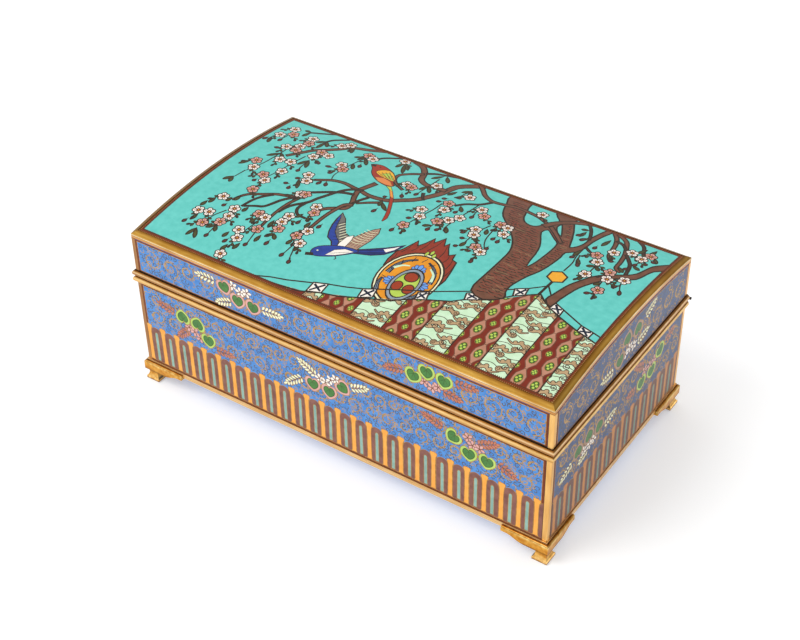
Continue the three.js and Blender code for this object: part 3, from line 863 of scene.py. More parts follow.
# limbs and branches: width at the start, width at the end, and the points between
BRANCHES = [
    (3.4, 1.3, [(105, 107), (100, 103), (96.4, 99), (95, 94.5), (94.2, 90), (92, 85), (88.5, 79), (84, 75),
        (80, 71.8), (75, 70.4), (70, 70.2), (66, 71.2), (62, 71.6), (57, 72.4), (52, 71.6), (48, 69.4),
        (44.8, 67.3)]),
    (2.6, 2.4, [(70, 107), (74.5, 105.3), (78, 101.5), (79.4, 98.5), (81, 94.5), (85, 92.2), (90, 92.8),
        (94.5, 92.8)]),
    (1.5, 1.2, [(79, 99.8), (74.5, 96.2), (71.4, 92.5), (71.4, 89), (74, 85.4), (79.5, 82.3)]),
    (1.4, 1.1, [(79.5, 100.8), (83, 103.4), (88, 105.4), (93, 107)]),
    (2.2, 1.6, [(54, 107), (48, 103.6), (41, 100.4), (37.4, 95.8), (33, 91), (29, 87.2), (25.6, 81.6),
        (22.5, 76.6)]),
    (1.0, 0.9, [(63, 106), (57.4, 101.4), (55.4, 98)]),
    (0.9, 0.9, [(28, 107), (22.5, 103.4), (17.6, 100.6)]),
    (0.9, 0.9, [(35, 106), (30, 101), (28.4, 97)]),
    (2.4, 1.6, [(67.6, 80), (66.2, 75.5), (65, 71), (66.3, 66), (68.3, 61.5), (68.4, 57), (65.5, 55),
        (62, 52.5), (60, 50)]),
    (1.5, 0.9, [(78, 68.5), (73.5, 65.3), (70, 62.3)]),
    (1.2, 1.0, [(71.5, 68.6), (69.8, 65), (68.6, 61)]),
    (1.3, 1.1, [(66.5, 72), (62.5, 70.2), (59.4, 66.8), (56.8, 61.5), (54.4, 56.5), (52.7, 52), (48, 46),
        (46.2, 40)]),
    (1.3, 1.2, [(65.2, 67.2), (61, 66), (56.5, 63.6), (52, 60.4), (47.6, 57.2)]),
    (1.9, 1.3, [(69.5, 60.5), (66.5, 58.5), (65.2, 53), (64.4, 47), (64.1, 38)]),
    (1.6, 1.0, [(49.5, 54), (44, 51.6), (38, 49.6), (33.5, 46.8), (29, 44.2), (26.4, 41.4), (24.5, 37)]),
    (1.1, 0.8, [(37, 48.5), (34, 45), (32, 41), (30.7, 35.5)]),
    (1.2, 0.8, [(46, 52), (42.5, 47.5), (40.5, 43), (38.6, 39.8), (35.2, 38.2), (31.5, 36)]),
    (1.5, 1.0, [(48, 53.6), (46.2, 46), (45.6, 38), (46, 28.5)]),
    (1.1, 0.8, [(52.4, 51.6), (51.6, 46.4), (54, 42.8), (58.5, 42.2)]),
    (2.0, 1.6, [(103, 107), (106.4, 103.4), (109.5, 100), (114, 97.6), (119, 98), (125, 99.6), (131, 99.2),
        (137, 98), (142.4, 95.2)]),
    (2.0, 1.6, [(144.3, 94.3), (148, 91.2), (151, 88.2), (154, 85.4)]),
    (2.8, 2.2, [(141.5, 93), (144, 97.5), (147.5, 101.5), (151.5, 104.4), (157, 107)]),
    (1.2, 1.0, [(115, 96.6), (112, 92), (107.2, 88.6), (104.2, 84.6)]),
    (1.1, 1.0, [(155.5, 106.6), (158.2, 103), (160.2, 99), (161.8, 94.6)]),
    (1.9, 1.2, [(167, 107), (170.2, 102.6), (172, 98), (173, 93), (173.8, 88.6), (175.6, 85.8)]),
    (1.9, 1.4, [(169, 106.6), (174, 103.4), (176.6, 98.6), (178.6, 93.2), (179.8, 87), (180.4, 82),
        (183.2, 80.4)]),
    (1.3, 1.1, [(171, 101), (174.6, 99.8), (177.4, 96.6)]),
    (1.3, 1.2, [(179, 93.6), (182, 90), (184.2, 86.4), (185.6, 80)]),
    (1.4, 1.0, [(178, 107), (181.6, 104), (183.4, 100.4), (184.6, 97.4)]),
    (1.0, 0.8, [(163.6, 88.6), (166.4, 86.6), (168.6, 85.8)]),
    (1.2, 0.7, [(88, 85.4), (89.4, 82.6), (91.2, 80.4)])]
TWIGS = [
    [(15.5, 57), (14.5, 50.5)], [(27.3, 52.5), (27.3, 50)], [(27, 30), (24.5, 25), (24, 21)], [(43, 31),
    (41.8, 22)], [(46, 26), (47.5, 18)], [(29.3, 20), (29.6, 15)], [(64.7, 26), (64.5, 20)], [(66, 25),
    (68.5, 18)], [(19.2, 81), (19, 74), (18.3, 66), (15.8, 57)], [(29.6, 81), (28.6, 73), (28, 66), (26.8, 59)],
    [(33.2, 78), (33.4, 73), (34, 70)], [(51, 96), (50, 90), (49.4, 85), (49, 76), (50.2, 72)], [(28, 64),
    (29.7, 60)], [(9, 90), (6, 84)], [(11.5, 92), (11.4, 87)], [(86.6, 100), (86.6, 92), (86.2, 84)], [(99, 83),
    (98.6, 76), (96.6, 66), (95.4, 57)], [(103, 99.4), (102, 95), (101.7, 91)], [(111.8, 91), (111.4, 85),
    (110.6, 76), (110, 68), (111, 65)], [(105, 74), (104.8, 63)], [(124.4, 80), (122.6, 73), (122.3, 64),
    (123, 61)], [(127, 81), (127.2, 76), (128.4, 69), (131, 64)], [(113.6, 88), (114.6, 81)], [(164.7, 68.4),
    (164.8, 75), (163.8, 80), (163.4, 87)], [(164.4, 82), (166, 76.5)], [(173.2, 80), (173.2, 72), (172, 67.4)],
    [(180.2, 72), (180.8, 66), (181, 61)], [(187.2, 74), (187.4, 72), (189.4, 67.6)], [(187.3, 72),
    (186.2, 69.6)], [(186.2, 94), (185.4, 89)], [(187, 94), (188.6, 91)]]
BLOSSOMS = [
    (27.3, 55.3), (27.2, 47.3), (46.4, 55.2), (57.7, 51.2), (59.4, 47.2), (19.8, 36.8), (29.2, 32.5),
    (40.2, 35), (44, 34.2), (30.2, 27.4), (29.4, 22.8), (16.5, 24.4), (21.3, 25.6), (23.1, 18.9), (39.4, 22.6),
    (41.9, 18.2), (45.8, 26.6), (51.9, 40), (51.7, 35.4), (53.3, 31), (41.8, 7.4), (64.6, 35.8), (62.4, 31.2),
    (66.5, 27.8), (10.4, 98.8), (13, 94.2), (8.4, 90.4), (22.4, 96.2), (23.6, 91.6), (22.2, 87), (17.6, 83),
    (22.8, 83), (36.2, 99), (38.8, 102), (33, 88.2), (37.2, 87.4), (32.4, 83), (50.8, 98.8), (54, 97.2),
    (46.6, 84.4), (49.2, 81.4), (22.2, 72.4), (27.4, 73.4), (14.4, 66), (16.8, 61), (29, 65), (24, 58.6),
    (40.2, 69), (42.4, 64.6), (48.4, 56.2), (66, 104.6), (78.4, 87.4), (81.4, 86.4), (89, 94.4), (105.4, 94.4),
    (101.2, 84.6), (102.4, 79.2), (115, 88.6), (118.4, 84.6), (111, 77.4), (108.2, 73.4), (104.8, 70),
    (94.6, 74), (97, 69), (95, 60), (121, 73.8), (122.4, 70), (127.4, 83), (131, 82.4), (132, 77.2),
    (127.6, 63), (131, 61), (180.3, 96.4), (187.4, 98.6), (185.4, 94.4), (174.4, 92), (169.8, 86),
    (172.4, 81.6), (172.6, 71.4), (180, 77.8), (181.2, 73), (187.2, 76), (181.8, 64.4), (136.6, 101)]
# buds and drooping leaves: where the stalk starts, the way it hangs, its length
BUDS = [
    (24.4, 34, 250, 2.6), (16.2, 18.4, 255, 3), (29.7, 15.6, 268, 3), (39.2, 16.6, 255, 3.2),
    (54.6, 24, 268, 3.6), (47.6, 18.8, 265, 3), (57.7, 41, 268, 3.4), (66.9, 43, 265, 3.4),
    (64.4, 21, 265, 3.2), (68.6, 19, 285, 3.2), (24, 54.6, 250, 2.4), (93, 57, 268, 3.4), (131.4, 56, 265, 3.2),
    (11.4, 89, 270, 3.6), (5.6, 86, 260, 3.4), (17.4, 80.6, 195, 3.6), (36, 81.4, 310, 3.2), (34, 71.6, 275, 3),
    (45.4, 80.2, 190, 3.6), (47.6, 77.8, 240, 3), (52.4, 90.6, 290, 3.6), (48, 69.2, 262, 4),
    (49.4, 69.6, 296, 4), (39.8, 65.6, 215, 3), (38, 58.8, 190, 2.6), (38.6, 58.4, 285, 3),
    (86.4, 85.2, 262, 3.4), (80.6, 80.4, 300, 4), (77.8, 74.2, 220, 2), (79.4, 64.4, 262, 3.6),
    (101.8, 94, 268, 3.4), (98.4, 84.6, 215, 2.6), (99, 88, 215, 2.6), (107.4, 82.4, 262, 3),
    (114.6, 83.6, 270, 3.6), (95.6, 66.6, 215, 2.8), (97.6, 66.6, 300, 2.8), (104.8, 65.4, 270, 3.4),
    (108.4, 66.8, 262, 3), (119.6, 69.6, 200, 2.6), (121.6, 66, 200, 2.6), (121.6, 60.6, 230, 2.4),
    (128.4, 60, 205, 2.8), (130.6, 74, 262, 3), (132.6, 73.6, 275, 3.4), (131.6, 66.6, 275, 3),
    (96.4, 58.4, 300, 2.8), (166.6, 93, 268, 3.4), (163.4, 81.4, 250, 3.4), (165.6, 77.6, 300, 3.8),
    (168.4, 83.6, 200, 2.6), (170.8, 83, 260, 3.2), (178.4, 86, 200, 2.8), (184.2, 86, 255, 3.2),
    (185.6, 91, 262, 3.2), (188.4, 96, 330, 2.8), (186.8, 93, 320, 2.8), (187.2, 72.4, 240, 3.6),
    (188.2, 70.4, 292, 4.4), (181.2, 62, 215, 3.4), (181.4, 62, 300, 3.2), (160.6, 96, 250, 4),
    (157.6, 98, 245, 3.6)]
LEAVES = [
    (14, 50.5, 238, 4.6), (14, 50.5, 285, 4.2), (26, 40.6, 262, 3.6), (23.3, 38, 262, 3.2),
    (17.6, 34.4, 262, 4), (15.8, 31, 262, 3.8), (18, 22.2, 262, 4.2), (29.3, 20.4, 225, 4.4),
    (29.3, 20.4, 298, 4), (23.2, 15, 255, 5.4), (23.2, 15, 300, 6), (36.6, 19.4, 262, 3.6), (45, 16, 262, 4),
    (41, 13, 262, 3.8), (49.5, 24, 270, 4.2), (41, 32, 262, 3.6), (48.4, 34.4, 275, 4.6), (59, 43.6, 300, 3.4),
    (56, 44, 250, 3.4), (53.5, 27.6, 235, 4), (53.5, 27.6, 312, 3.8), (62, 41, 270, 4), (62.4, 28.4, 262, 3.6),
    (67, 26.6, 270, 3.8), (33.6, 36, 262, 3.4), (17.6, 100.6, 262, 5.2), (17.4, 100.8, 175, 2.8),
    (28.4, 98, 230, 4.8), (28.6, 97, 270, 7), (28.6, 98, 305, 5.2), (33, 79, 250, 6), (33, 79, 292, 6.4),
    (19.4, 76.8, 232, 6.4), (19.4, 77, 312, 4), (39, 64, 298, 7), (6.6, 86.4, 290, 5.4), (51, 96, 306, 6.6),
    (50.6, 96, 210, 4.6), (49.8, 88.4, 300, 5), (12.4, 64.6, 240, 5.6), (41, 101, 292, 5.6),
    (66.6, 103.4, 262, 6), (66.8, 103.4, 312, 7), (67.4, 102, 296, 8.4), (86.6, 103.6, 240, 6),
    (88, 104, 305, 5.6), (86.6, 91.6, 305, 5.6), (86.6, 91.6, 250, 5), (77, 69.6, 320, 8),
    (77.4, 70.4, 285, 4.6), (103, 99.6, 235, 4.4), (103, 99.6, 290, 4.4), (106.4, 85.6, 305, 4.6),
    (98.6, 95, 250, 5), (104.6, 66, 215, 3.6), (110.4, 68.4, 300, 4.4), (122.6, 64, 262, 4),
    (123.4, 70, 300, 4.8), (124.8, 76.6, 290, 4), (157.8, 99.6, 262, 5), (158, 101.6, 200, 3),
    (161.6, 95.6, 225, 4.4), (168.8, 100, 262, 6.4), (163.2, 86, 262, 6), (164.8, 79.6, 300, 5.4),
    (174.4, 88.8, 300, 4), (181, 83.4, 318, 4), (185, 87.6, 335, 3.8), (173.2, 78.6, 215, 3.6),
    (173.2, 78.6, 318, 3.6), (172.8, 69.6, 250, 3.6), (180.4, 69.6, 240, 3.4), (187.4, 104, 262, 5),
    (184, 102.6, 250, 6), (189.6, 98, 300, 4)]

CURTAIN_EDGE = [
    (66, 3.6), (82, 5), (91.3, 8.5), (98, 10), (105, 13), (111, 15.3), (117, 17.8), (125, 23), (129.2, 25),
    (137.8, 28.9), (141.6, 32.3), (150.8, 37.5), (156.3, 43.7), (160, 46.5), (164.8, 50.3), (168, 47.5),
    (171.8, 44.8), (177.2, 42.3), (187, 38.6), (192.4, 37.2), (198, 35.4)]
CURTAIN_ROPE = [
    (61, 3.6), (68.2, 6.3), (75, 8), (85, 11.5), (91, 13.8), (98, 15.8), (104.2, 18.1), (117, 24.6),
    (129.3, 30.5), (140.5, 37.3), (152.8, 46), (159.3, 51), (164.8, 56.4), (168.3, 52), (172.2, 48.7),
    (177, 46.5), (187, 42.1), (192.7, 40.8), (198, 39.4)]
TIES = [
    [(85.2, 11.9), (91, 13.9), (91.2, 8.5), (85.3, 6.6)], [(104.3, 18.1), (109.3, 20.7), (110.2, 16),
    (105.1, 13.1)], [(124.1, 27), (127.7, 29.4), (129.1, 24.9), (125, 23)], [(140.4, 36), (145.4, 39.6),
    (146.4, 34.9), (141.6, 32.3)], [(154.8, 47.9), (159.2, 50.9), (160, 46.6), (156.3, 43.7)], [(172.2, 48.7),
    (177, 46.5), (177.2, 42.6), (171.8, 44.7)], [(187, 42.1), (192.7, 40.8), (192.4, 37.2), (187, 38.7)]]

SEAMS = [66, 85, 92, 107.9, 122.4, 136.3, 150.5, 164.3, 176.6, 190.3, 198]
CHAIN_PITCH = 10.6
CLOUD_PITCH = 5.6
CHAIN_FEET = (-6, -8.7, -7, 0, -3.7)        # the level of the first cell in each brick stripe
CHAIN_CELL = [(0.6, -5.4), (0.6, -4.7), (1.5, -3.2), (2.3, -2.0), (2.45, 0), (2.3, 2.0), (1.5, 3.2), (0.6, 4.7),
              (0.6, 5.4)]


def height_at(line, u):
    for (u0, v0), (u1, v1) in zip(line, line[1:]):
        if u0 <= u <= u1:
            return v0 + (v1 - v0) * (u - u0) / (u1 - u0)
    return line[-1][1]


def four_petals(inlay, centre, size, squash=1.3):
    inlay.cell(disc(centre, size, 10, squash), "forest", "wire", 0.24)
    for index in range(4):
        angle = math.pi / 2 * index
        petal = (centre[0] + math.cos(angle) * size * 0.48, centre[1] + math.sin(angle) * squash * size * 0.48)
        inlay.fill(disc(petal, size * 0.36, 6), "leaf_yellow")


def cloud(inlay, centre, length, way):
    """A drifting cloud: a long tapering curl in sand, with rolled ends."""
    u, v = centre
    line = smooth([(u, v), (u + way * length * 0.3, v + 1.1), (u + way * length * 0.62, v - 0.2),
                   (u + way * length, v + 1.3)], 4)
    knobs = [(u - way * 0.4, v + 0.5, 1.3), (u + way * length * 0.3, v + 1.7, 0.9),
             (u + way * length * 0.55, v + 0.8, 0.8)]
    for extra, finish in ((0.24, "bark_dark"), (-0.1, "sand")):
        inlay.fill(ribbon(line, 1.7 + 2 * extra, 0.3 + 2 * extra), finish)
        for x, y, radius in knobs:
            inlay.fill(disc((x, y), radius + extra, 10), finish)
    inlay.scroll((u - way * 0.4, v + 0.5), 1.0, 0.5, 1.3, way, 0.28, "bark_dark")


def curtain(inlay, inner):
    """Hanging cloth in brick and mint stripes: chains of pointed cells, and clouds with curls."""
    chance = random.Random(5)
    for index, (left, right) in enumerate(zip(SEAMS, SEAMS[1:])):
        ends = [(u, height_at(CURTAIN_EDGE, u)) for u in (left, right)]
        slope = (ends[1][0] - ends[0][0], ends[1][1] - ends[0][1])
        inlay.walls = walls_of((max(left, inner[0]), inner[1]), (min(right, inner[2]), inner[3])) \
            + [(ends[0], (slope[1], -slope[0]))]
        inlay.fill(box_outline(left, inner[1] - 1, right, 60), "mint" if index % 2 else "brick")
        if index % 2 == 0:
            levels = [CHAIN_FEET[index // 2] + CHAIN_PITCH * step for step in range(6)]
            for across, lift in ((4.15, 0.0), (11.1, -0.3)):
                for level in levels:
                    inlay.cell(mirrored(CHAIN_CELL, left + across, level + lift), "blush", "bark", 0.34)
                    four_petals(inlay, (left + across, level + lift), 1.6, 1.5)
            for across in (0.2, 7.7, 14.2):
                for level in levels:
                    four_petals(inlay, (left + across, level + 5.2), 1.2)
        else:
            level, way = inner[1] + 0.4, 1
            while level < max(ends[0][1], ends[1][1]):
                inlay.line(smooth([(left, level + 3.4), (left + 4, level + 4.4), (left + 8, level + 3.2),
                                   (right, level + 4.2)], 3), 0.3, "bark_dark")
                for start, lift in ((0.8, 0), (8.4, 2.6)):
                    u = start + chance.uniform(-0.6, 0.8)
                    cloud(inlay, (left + u if way > 0 else right - u, level + lift + chance.uniform(-0.4, 0.5)),
                          chance.uniform(7, 9), way)
                inset = chance.uniform(2.5, 5)
                inlay.scroll((left + inset if way < 0 else right - inset, level + 4.4), 1.5,
                             chance.uniform(0, 6), 1.5, way, 0.34, "bark_dark")
                level += CLOUD_PITCH
                way = -way
        inlay.walls = walls_of(inner[:2], inner[2:])
        inlay.dark_line([(left, inner[1]), (left + 0.3, ends[0][1])], 0.5)
    inlay.dark_line(CURTAIN_EDGE, 0.75)
    inlay.dark_line(CURTAIN_ROPE, 0.7)
    for corners in TIES:
        inlay.figure(corners, "white", 0.7)
        for a, c in ((0, 2), (1, 3)):
            inlay.line([toward(corners[a], corners[c], share) for share in (0.14, 0.86)], 1.05, "ink", 0.8)


def drum(inlay):
    """A festival drum in its ring of flames."""
    inlay.figure([(103.2, 34), (102.5, 38), (102.8, 43.5), (104.3, 46.4), (106.4, 54), (108, 51), (109.6, 54),
                  (111.2, 59), (112.4, 56.2), (114.8, 61.4), (117, 56.6), (118, 59), (119.4, 56), (121.8, 52.2),
                  (123.8, 54), (124.6, 50.6), (127, 49.8), (128.3, 44), (129.3, 38), (128.8, 33.6), (124, 28),
                  (108, 28)], "flame", 0.6)
    for x0, y0, x1, y1 in ((104.6, 44, 105.8, 51), (107.6, 47, 108.6, 51), (110.2, 49, 111, 57),
                           (113, 50.4, 114.8, 60), (119.4, 49, 118.2, 57), (122.4, 47, 122.4, 52),
                           (125.6, 44, 124.2, 52.6), (127.6, 40, 127, 48.6), (103.8, 38, 103.6, 43)):
        inlay.dark_line(smooth([(x0, y0), ((x0 + x1) / 2 + 0.5, (y0 + y1) / 2), (x1, y1)], 3), 0.4, 0.22)
    ring = (116.2, 31.8)
    for radius, finish in ((13.0, "dark_wire"), (12.3, "cream"), (11.7, "dark_wire"), (11.1, "drum_orange")):
        inlay.fill(disc(ring, radius, 30, 1.33), finish)
    for x, y in ((114, 46.6), (115.6, 48.2), (117.2, 46.8)):
        inlay.figure(leaf((x, y), math.pi / 2, 3.4, 1.5), "leaf_yellow", 0.26)
    for points in ([(106.9, 31), (107.6, 36.4), (109.8, 40.6), (113.4, 43.4)],
                   [(125.2, 33), (124.2, 38), (121.6, 41.8), (118, 44)],
                   [(108.6, 20.6), (107.2, 24), (106.9, 27.6)], [(121.6, 20.6), (124.2, 24.4), (125.4, 29)]):
        for width, finish, tip in ((2.4, "ink", 1.0), (1.0, "silver", 0.3), (0.4, "ink", 0.3)):
            inlay.line(smooth(points, 3), width, finish, tip)
    for index in range(7):
        angle = math.radians(200 - index * 26)
        inlay.line([(ring[0] + 8.2 * math.cos(angle), ring[1] + 11 * math.sin(angle)),
                    (ring[0] + 10.4 * math.cos(angle - 0.12), ring[1] + 13.9 * math.sin(angle - 0.12))],
                   0.45, "ink", 0.3)
    for points in ([(107.6, 34.6), (109.8, 37.4), (112.6, 38.6)], [(125, 34.4), (123.6, 38.4), (120.6, 41)]):
        inlay.line(smooth(points, 3), 1.3, "mint", 0.6)
    for u, v, angle, size in ((116.8, 37.4, 90, 4.2), (111.2, 27.4, 180, 3.6), (122.8, 30.6, 0, 3.4)):
        for turn in (-70, 70, -35, 35, 0):
            inlay.cell(leaf((u, v), math.radians(angle + turn), size * (1 - abs(turn) / 320), size * 0.5, 0.7),
                       "sky", "navy", 0.3)
    for radius, squash, finish in ((6.3, 1.66, "dark_wire"), (5.8, 1.66, "silver"), (4.9, 1.72, "dark_wire"),
                                   (4.5, 1.72, "leaf_yellow")):
        inlay.fill(disc((117.1, 28.2), radius, 24, squash), finish)
    for x, y, wide, squash in ((117, 33, 2.8, 1.0), (114.7, 26.2, 2.2, 1.25), (119.7, 26.4, 2.2, 1.25)):
        inlay.figure(disc((x, y), wide, 14, squash), "red_disc", 0.5)
        inlay.scroll((x, y), wide * 0.7, 1, 0.8, 1, 0.24, "flame")


def feathers(inlay, count, roots, tips, width, finish):
    """Fine lines in a fan; roots and tips each give the first and the last place."""
    for index in range(count):
        inlay.line([toward(*roots, index / (count - 1)), toward(*tips, index / (count - 1))], width, finish)


def blue_bird(inlay):
    """A swallow-like bird with raised wings."""
    inlay.figure([(88.6, 36.2), (94.3, 40.3), (98, 43.2), (101, 46), (103.8, 48.8), (103.3, 46.6),
                  (102.2, 42.8), (99.7, 39), (95.5, 36), (88.6, 33.4)], "navy")
    inlay.cell([(97.4, 41.8), (100.6, 44.8), (102.6, 47.2), (101.8, 43.6), (99.6, 40.4)], "white", "navy", 0.4)
    inlay.line([(90, 35.4), (98.6, 41)], 0.4, "royal")
    inlay.figure([(88.8, 52.8), (86.8, 50.4), (85, 47), (83.4, 43.3), (81.8, 39.4), (80.8, 34), (88.6, 35.2),
                  (89.2, 39), (90.2, 43.6), (90.2, 49.4)], "tan")
    feathers(inlay, 5, ((82.6, 37), (88, 37)), ((85.8, 48.6), (89.6, 51)), 0.28, "bark")
    for index in range(7):
        level = 39.6 + index * 1.6
        inlay.line(smooth([(82.6 + index * 0.34, level), (85.6 + index * 0.3, level - 0.4),
                           (88.6 + index * 0.18, level + 0.6)], 3), 0.26, "cream")
    inlay.figure([(69.3, 53.6), (73, 50.5), (75, 47.4), (77, 44.5), (78.5, 42.7), (80.6, 42), (81.6, 40),
                  (80.6, 33.6), (78.3, 33), (76.6, 35.3), (73.7, 36.8), (71.8, 40.3), (70.4, 44.5),
                  (69.6, 48.7)], "slate")
    inlay.figure([(69.5, 52.6), (69.9, 48.7), (70.7, 44.5), (72, 40.3), (73.8, 37), (76.8, 35.5), (78.4, 33.2),
                  (80.4, 34), (79.4, 36.8), (77, 38.6), (74.2, 41.4), (72.4, 45.4), (70.8, 50)], "royal", 0.3)
    feathers(inlay, 7, ((73, 45.6), (79.4, 37.2)), ((74.6, 48), (81.2, 40)), 0.34, "cream")
    feathers(inlay, 7, ((72.6, 46.8), (79, 38)), ((74, 48.8), (80.6, 41)), 0.3, "dark_wire")
    feathers(inlay, 7, ((70.4, 47.6), (76.4, 36.4)), ((71.8, 48.4), (78.6, 38)), 0.26, "ink")
    inlay.figure([(80.4, 41), (82.4, 43.2), (83.4, 39.6), (83.6, 33), (80.6, 32.6), (80, 36.4)], "white", 0.3)
    inlay.figure(smooth([(72.9, 27.8), (74.2, 30.4), (78, 33), (83, 35.2), (89.6, 36), (89, 33.8), (86.2, 31),
                         (83, 28.2), (80, 26.4), (76.4, 24.8), (73.6, 25.4)], 2, True), "royal")
    inlay.figure([(79.4, 27), (83, 28.8), (86, 31.4), (88.6, 34.4), (84.6, 34.2), (81, 31.6)], "white", 0.26)
    feathers(inlay, 4, ((80.6, 29), (85, 32)), ((82.4, 30), (87, 33.4)), 0.24, "slate")
    inlay.fill([(71.6, 24.8), (72.4, 23.2), (75.8, 24.6), (74.4, 26)], "dark_wire")
    inlay.fill(disc((75.2, 28), 0.42, 6), "cream")
    inlay.dark_line([(83.4, 28.6), (84.6, 27.4), (84.2, 26.6)], 0.4)


def red_bird(inlay):
    """A long-tailed bird in red, yellow and green on its perch."""
    upper = [(69, 85.6), (73, 83), (77, 78.6), (80.5, 74.2), (83.2, 69), (85.6, 64), (86.9, 60), (86.5, 57.4)]
    lower = [(68.2, 82.2), (72, 81), (75, 79), (78.4, 74.6), (81, 70), (83, 66), (84.8, 61.5), (86, 57.4)]
    for first, last, finish in ((3, 7, "red"), (2, 3, "rose_orange"), (0, 2, "leaf_yellow")):
        inlay.figure(upper[first:last + 1] + lower[first:last + 1][::-1], finish, 0.26)
    for share, ends, finish in ((0.5, 4, "gold_yellow"), (0.3, 2, "forest"), (0.75, 2, "rose_orange")):
        inlay.line([toward(a, b, share) for a, b in zip(upper, lower)][:ends], 0.3, finish)
    inlay.figure(smooth([(56.2, 92.8), (58, 94.2), (60.8, 95), (64.4, 94), (68.4, 92), (71.4, 88.6),
                         (72.6, 85.6), (74.8, 82.6), (72.4, 81), (68.6, 81.6), (65.8, 82.6), (62.4, 84.8),
                         (60, 87.4), (58.4, 90.4)], 2, True), "red")
    inlay.cell([(64, 84.4), (67.6, 86), (71.6, 84.8), (74.4, 82.2), (71, 81.6), (67, 82.2)], "rose_orange",
               "wire", 0.24)
    inlay.figure(smooth([(61.6, 88.4), (62.8, 91.2), (66, 92.8), (69.8, 90.6), (72.8, 86), (69, 86),
                         (65, 86.6)], 2, True), "gold_yellow", 0.3)
    inlay.cell([(64.6, 88.4), (66.8, 90.8), (70, 89), (72.4, 86.2), (68.6, 86.6)], "leaf_yellow", "wire", 0.24)
    feathers(inlay, 4, ((62.6, 88.6), (66.6, 91.6)), ((67, 86.6), (71.4, 86.8)), 0.26, "forest")
    feathers(inlay, 3, ((66.4, 88), (69.4, 89.6)), ((69.4, 86.4), (72.6, 86.4)), 0.26, "red")
    inlay.fill([(56, 92.9), (58.4, 93.9), (58.9, 92), (57.2, 91.9)], "dark_wire")
    inlay.fill(disc((60.8, 93), 0.42, 6), "dark_wire")


BARK_PITCH = 1.5


def bark_lines(inlay):
    """Ridged bark: short wavy lines across the trunk and its limbs, darker and paler by turns."""
    chance = random.Random(2)
    # each limb by levels, with its left and its right side there
    limbs = ([(40, 141, 153.6), (48, 140.7, 152.2), (58, 141, 155), (66, 141.2, 150), (74, 138.8, 149),
              (82, 133.6, 146), (89, 127, 142)],
             [(58, 151, 155.4), (66, 153, 157.6), (76, 153.9, 158.7), (84, 153.8, 158), (95, 150.4, 153.6),
              (104, 146, 149.6)],
             [(84, 130, 134), (92, 124, 131.6), (104, 120, 128)])
    for limb in limbs:
        v = limb[0][0]
        while v < limb[-1][0]:
            left = height_at([(level, low) for level, low, _ in limb], v) + 0.4
            right = height_at([(level, high) for level, _, high in limb], v) - 0.4
            for lift, finish, width, reach in ((0.0, "dark_wire", 0.5, 7), (0.55, "bark_red", 0.4, 6)):
                start = left + chance.uniform(0, 1.4)
                while start < right - 0.8:
                    end = min(right, start + chance.uniform(0.4, 1) * reach)
                    places = [start + (end - start) * share / 4 for share in range(5)]
                    inlay.line(smooth([(u, v + lift + chance.uniform(-0.5, 0.5)) for u in places], 2),
                               width, "bark_light" if chance.random() < 0.08 else finish, 0.3)
                    start = end + chance.uniform(0.2, 1.2)
            v += BARK_PITCH


def picture():
    """Blossom over a striped curtain, with a drum and two birds, on turquoise."""
    inlay = Inlay()
    edge = (PICTURE_INSET, PICTURE_INSET, LENGTH - PICTURE_INSET, WIDTH - PICTURE_INSET)
    outline = box_outline(*edge)
    inner = (3.8, 4.1, LENGTH - 3.8, WIDTH - 3.9)
    inlay.fill(outline, "rust")
    inlay.figure(box_outline(*inner), "turquoise", 0.5)
    inlay.walls = walls_of(inner[:2], inner[2:])
    drum(inlay)
    curtain(inlay, inner)
    inlay.figure(smooth(TREE, 2, True), "bark", 0.75)
    for hole in FORKS:
        inlay.figure(smooth(hole, 2, True), "turquoise", 0.7)
    inlay.dark_line([(164.6, 59.5), (164.2, 49.8)], 1.2)
    inlay.figure(smooth(BOUGH, 2, True), "bark", 0.75)
    bark_lines(inlay)
    for width, tip, points in BRANCHES:
        inlay.figure(ribbon(smooth(points), width, tip), "bark" if width > 1.45 else "bark_dark", 0.6)
    for points in TWIGS:
        inlay.dark_line(smooth(points), 0.7, 0.5)
    for u, v, angle, length in LEAVES:
        inlay.figure(leaf((u, v), math.radians(angle), length, 1.7, 0.65), "olive", 0.5)
    for u, v, angle, length in BUDS:
        inlay.bud((u, v), math.radians(angle), length)
    for index, (u, v) in enumerate(BLOSSOMS):
        inlay.sprig((u, v), -math.pi / 2 + 0.9 * math.sin(2.3 * index), SPRIG)
    for index, (u, v) in enumerate(BLOSSOMS):
        inlay.blossom((u, v), BLOSSOM, index * 0.9, "petal_pink" if index % 3 == 1 else "white")
    inlay.figure(disc((164.6, 63.4), 4.0, 6, 1.0, 0.52), "finial_orange", 0.75)
    blue_bird(inlay)
    red_bird(inlay)
    inlay.walls = []
    teeth(inlay, inner, "rust")
    teeth(inlay, edge, "wire")
    bars = [PICTURE_INSET + (WIDTH - 2 * PICTURE_INSET) * index / PICTURE_BARS
            for index in range(1, PICTURE_BARS)]
    lay("lid_picture", outline, inlay, FACES["top"], "lid", (9, 10), bars)


TOOTH_PITCH, TOOTH_DEPTH = 0.85, 0.55


def teeth(inlay, border, finish):
    """A fine saw edge of bent wire along the border."""
    left, bottom, right, top = border
    sides = (((left, bottom), (right, bottom), (0, 1)), ((left, top), (right, top), (0, -1)),
             ((left, bottom), (left, top), (1, 0)), ((right, bottom), (right, top), (-1, 0)))
    for start, end, inwards in sides:
        count = int(math.dist(start, end) / TOOTH_PITCH)
        for index in range(count):
            a, b = toward(start, end, index / count), toward(start, end, (index + 0.7) / count)
            tip = tuple((a[axis] + b[axis]) / 2 + inwards[axis] * TOOTH_DEPTH for axis in (0, 1))
            inlay.fill([a, b, tip], finish)


picture()
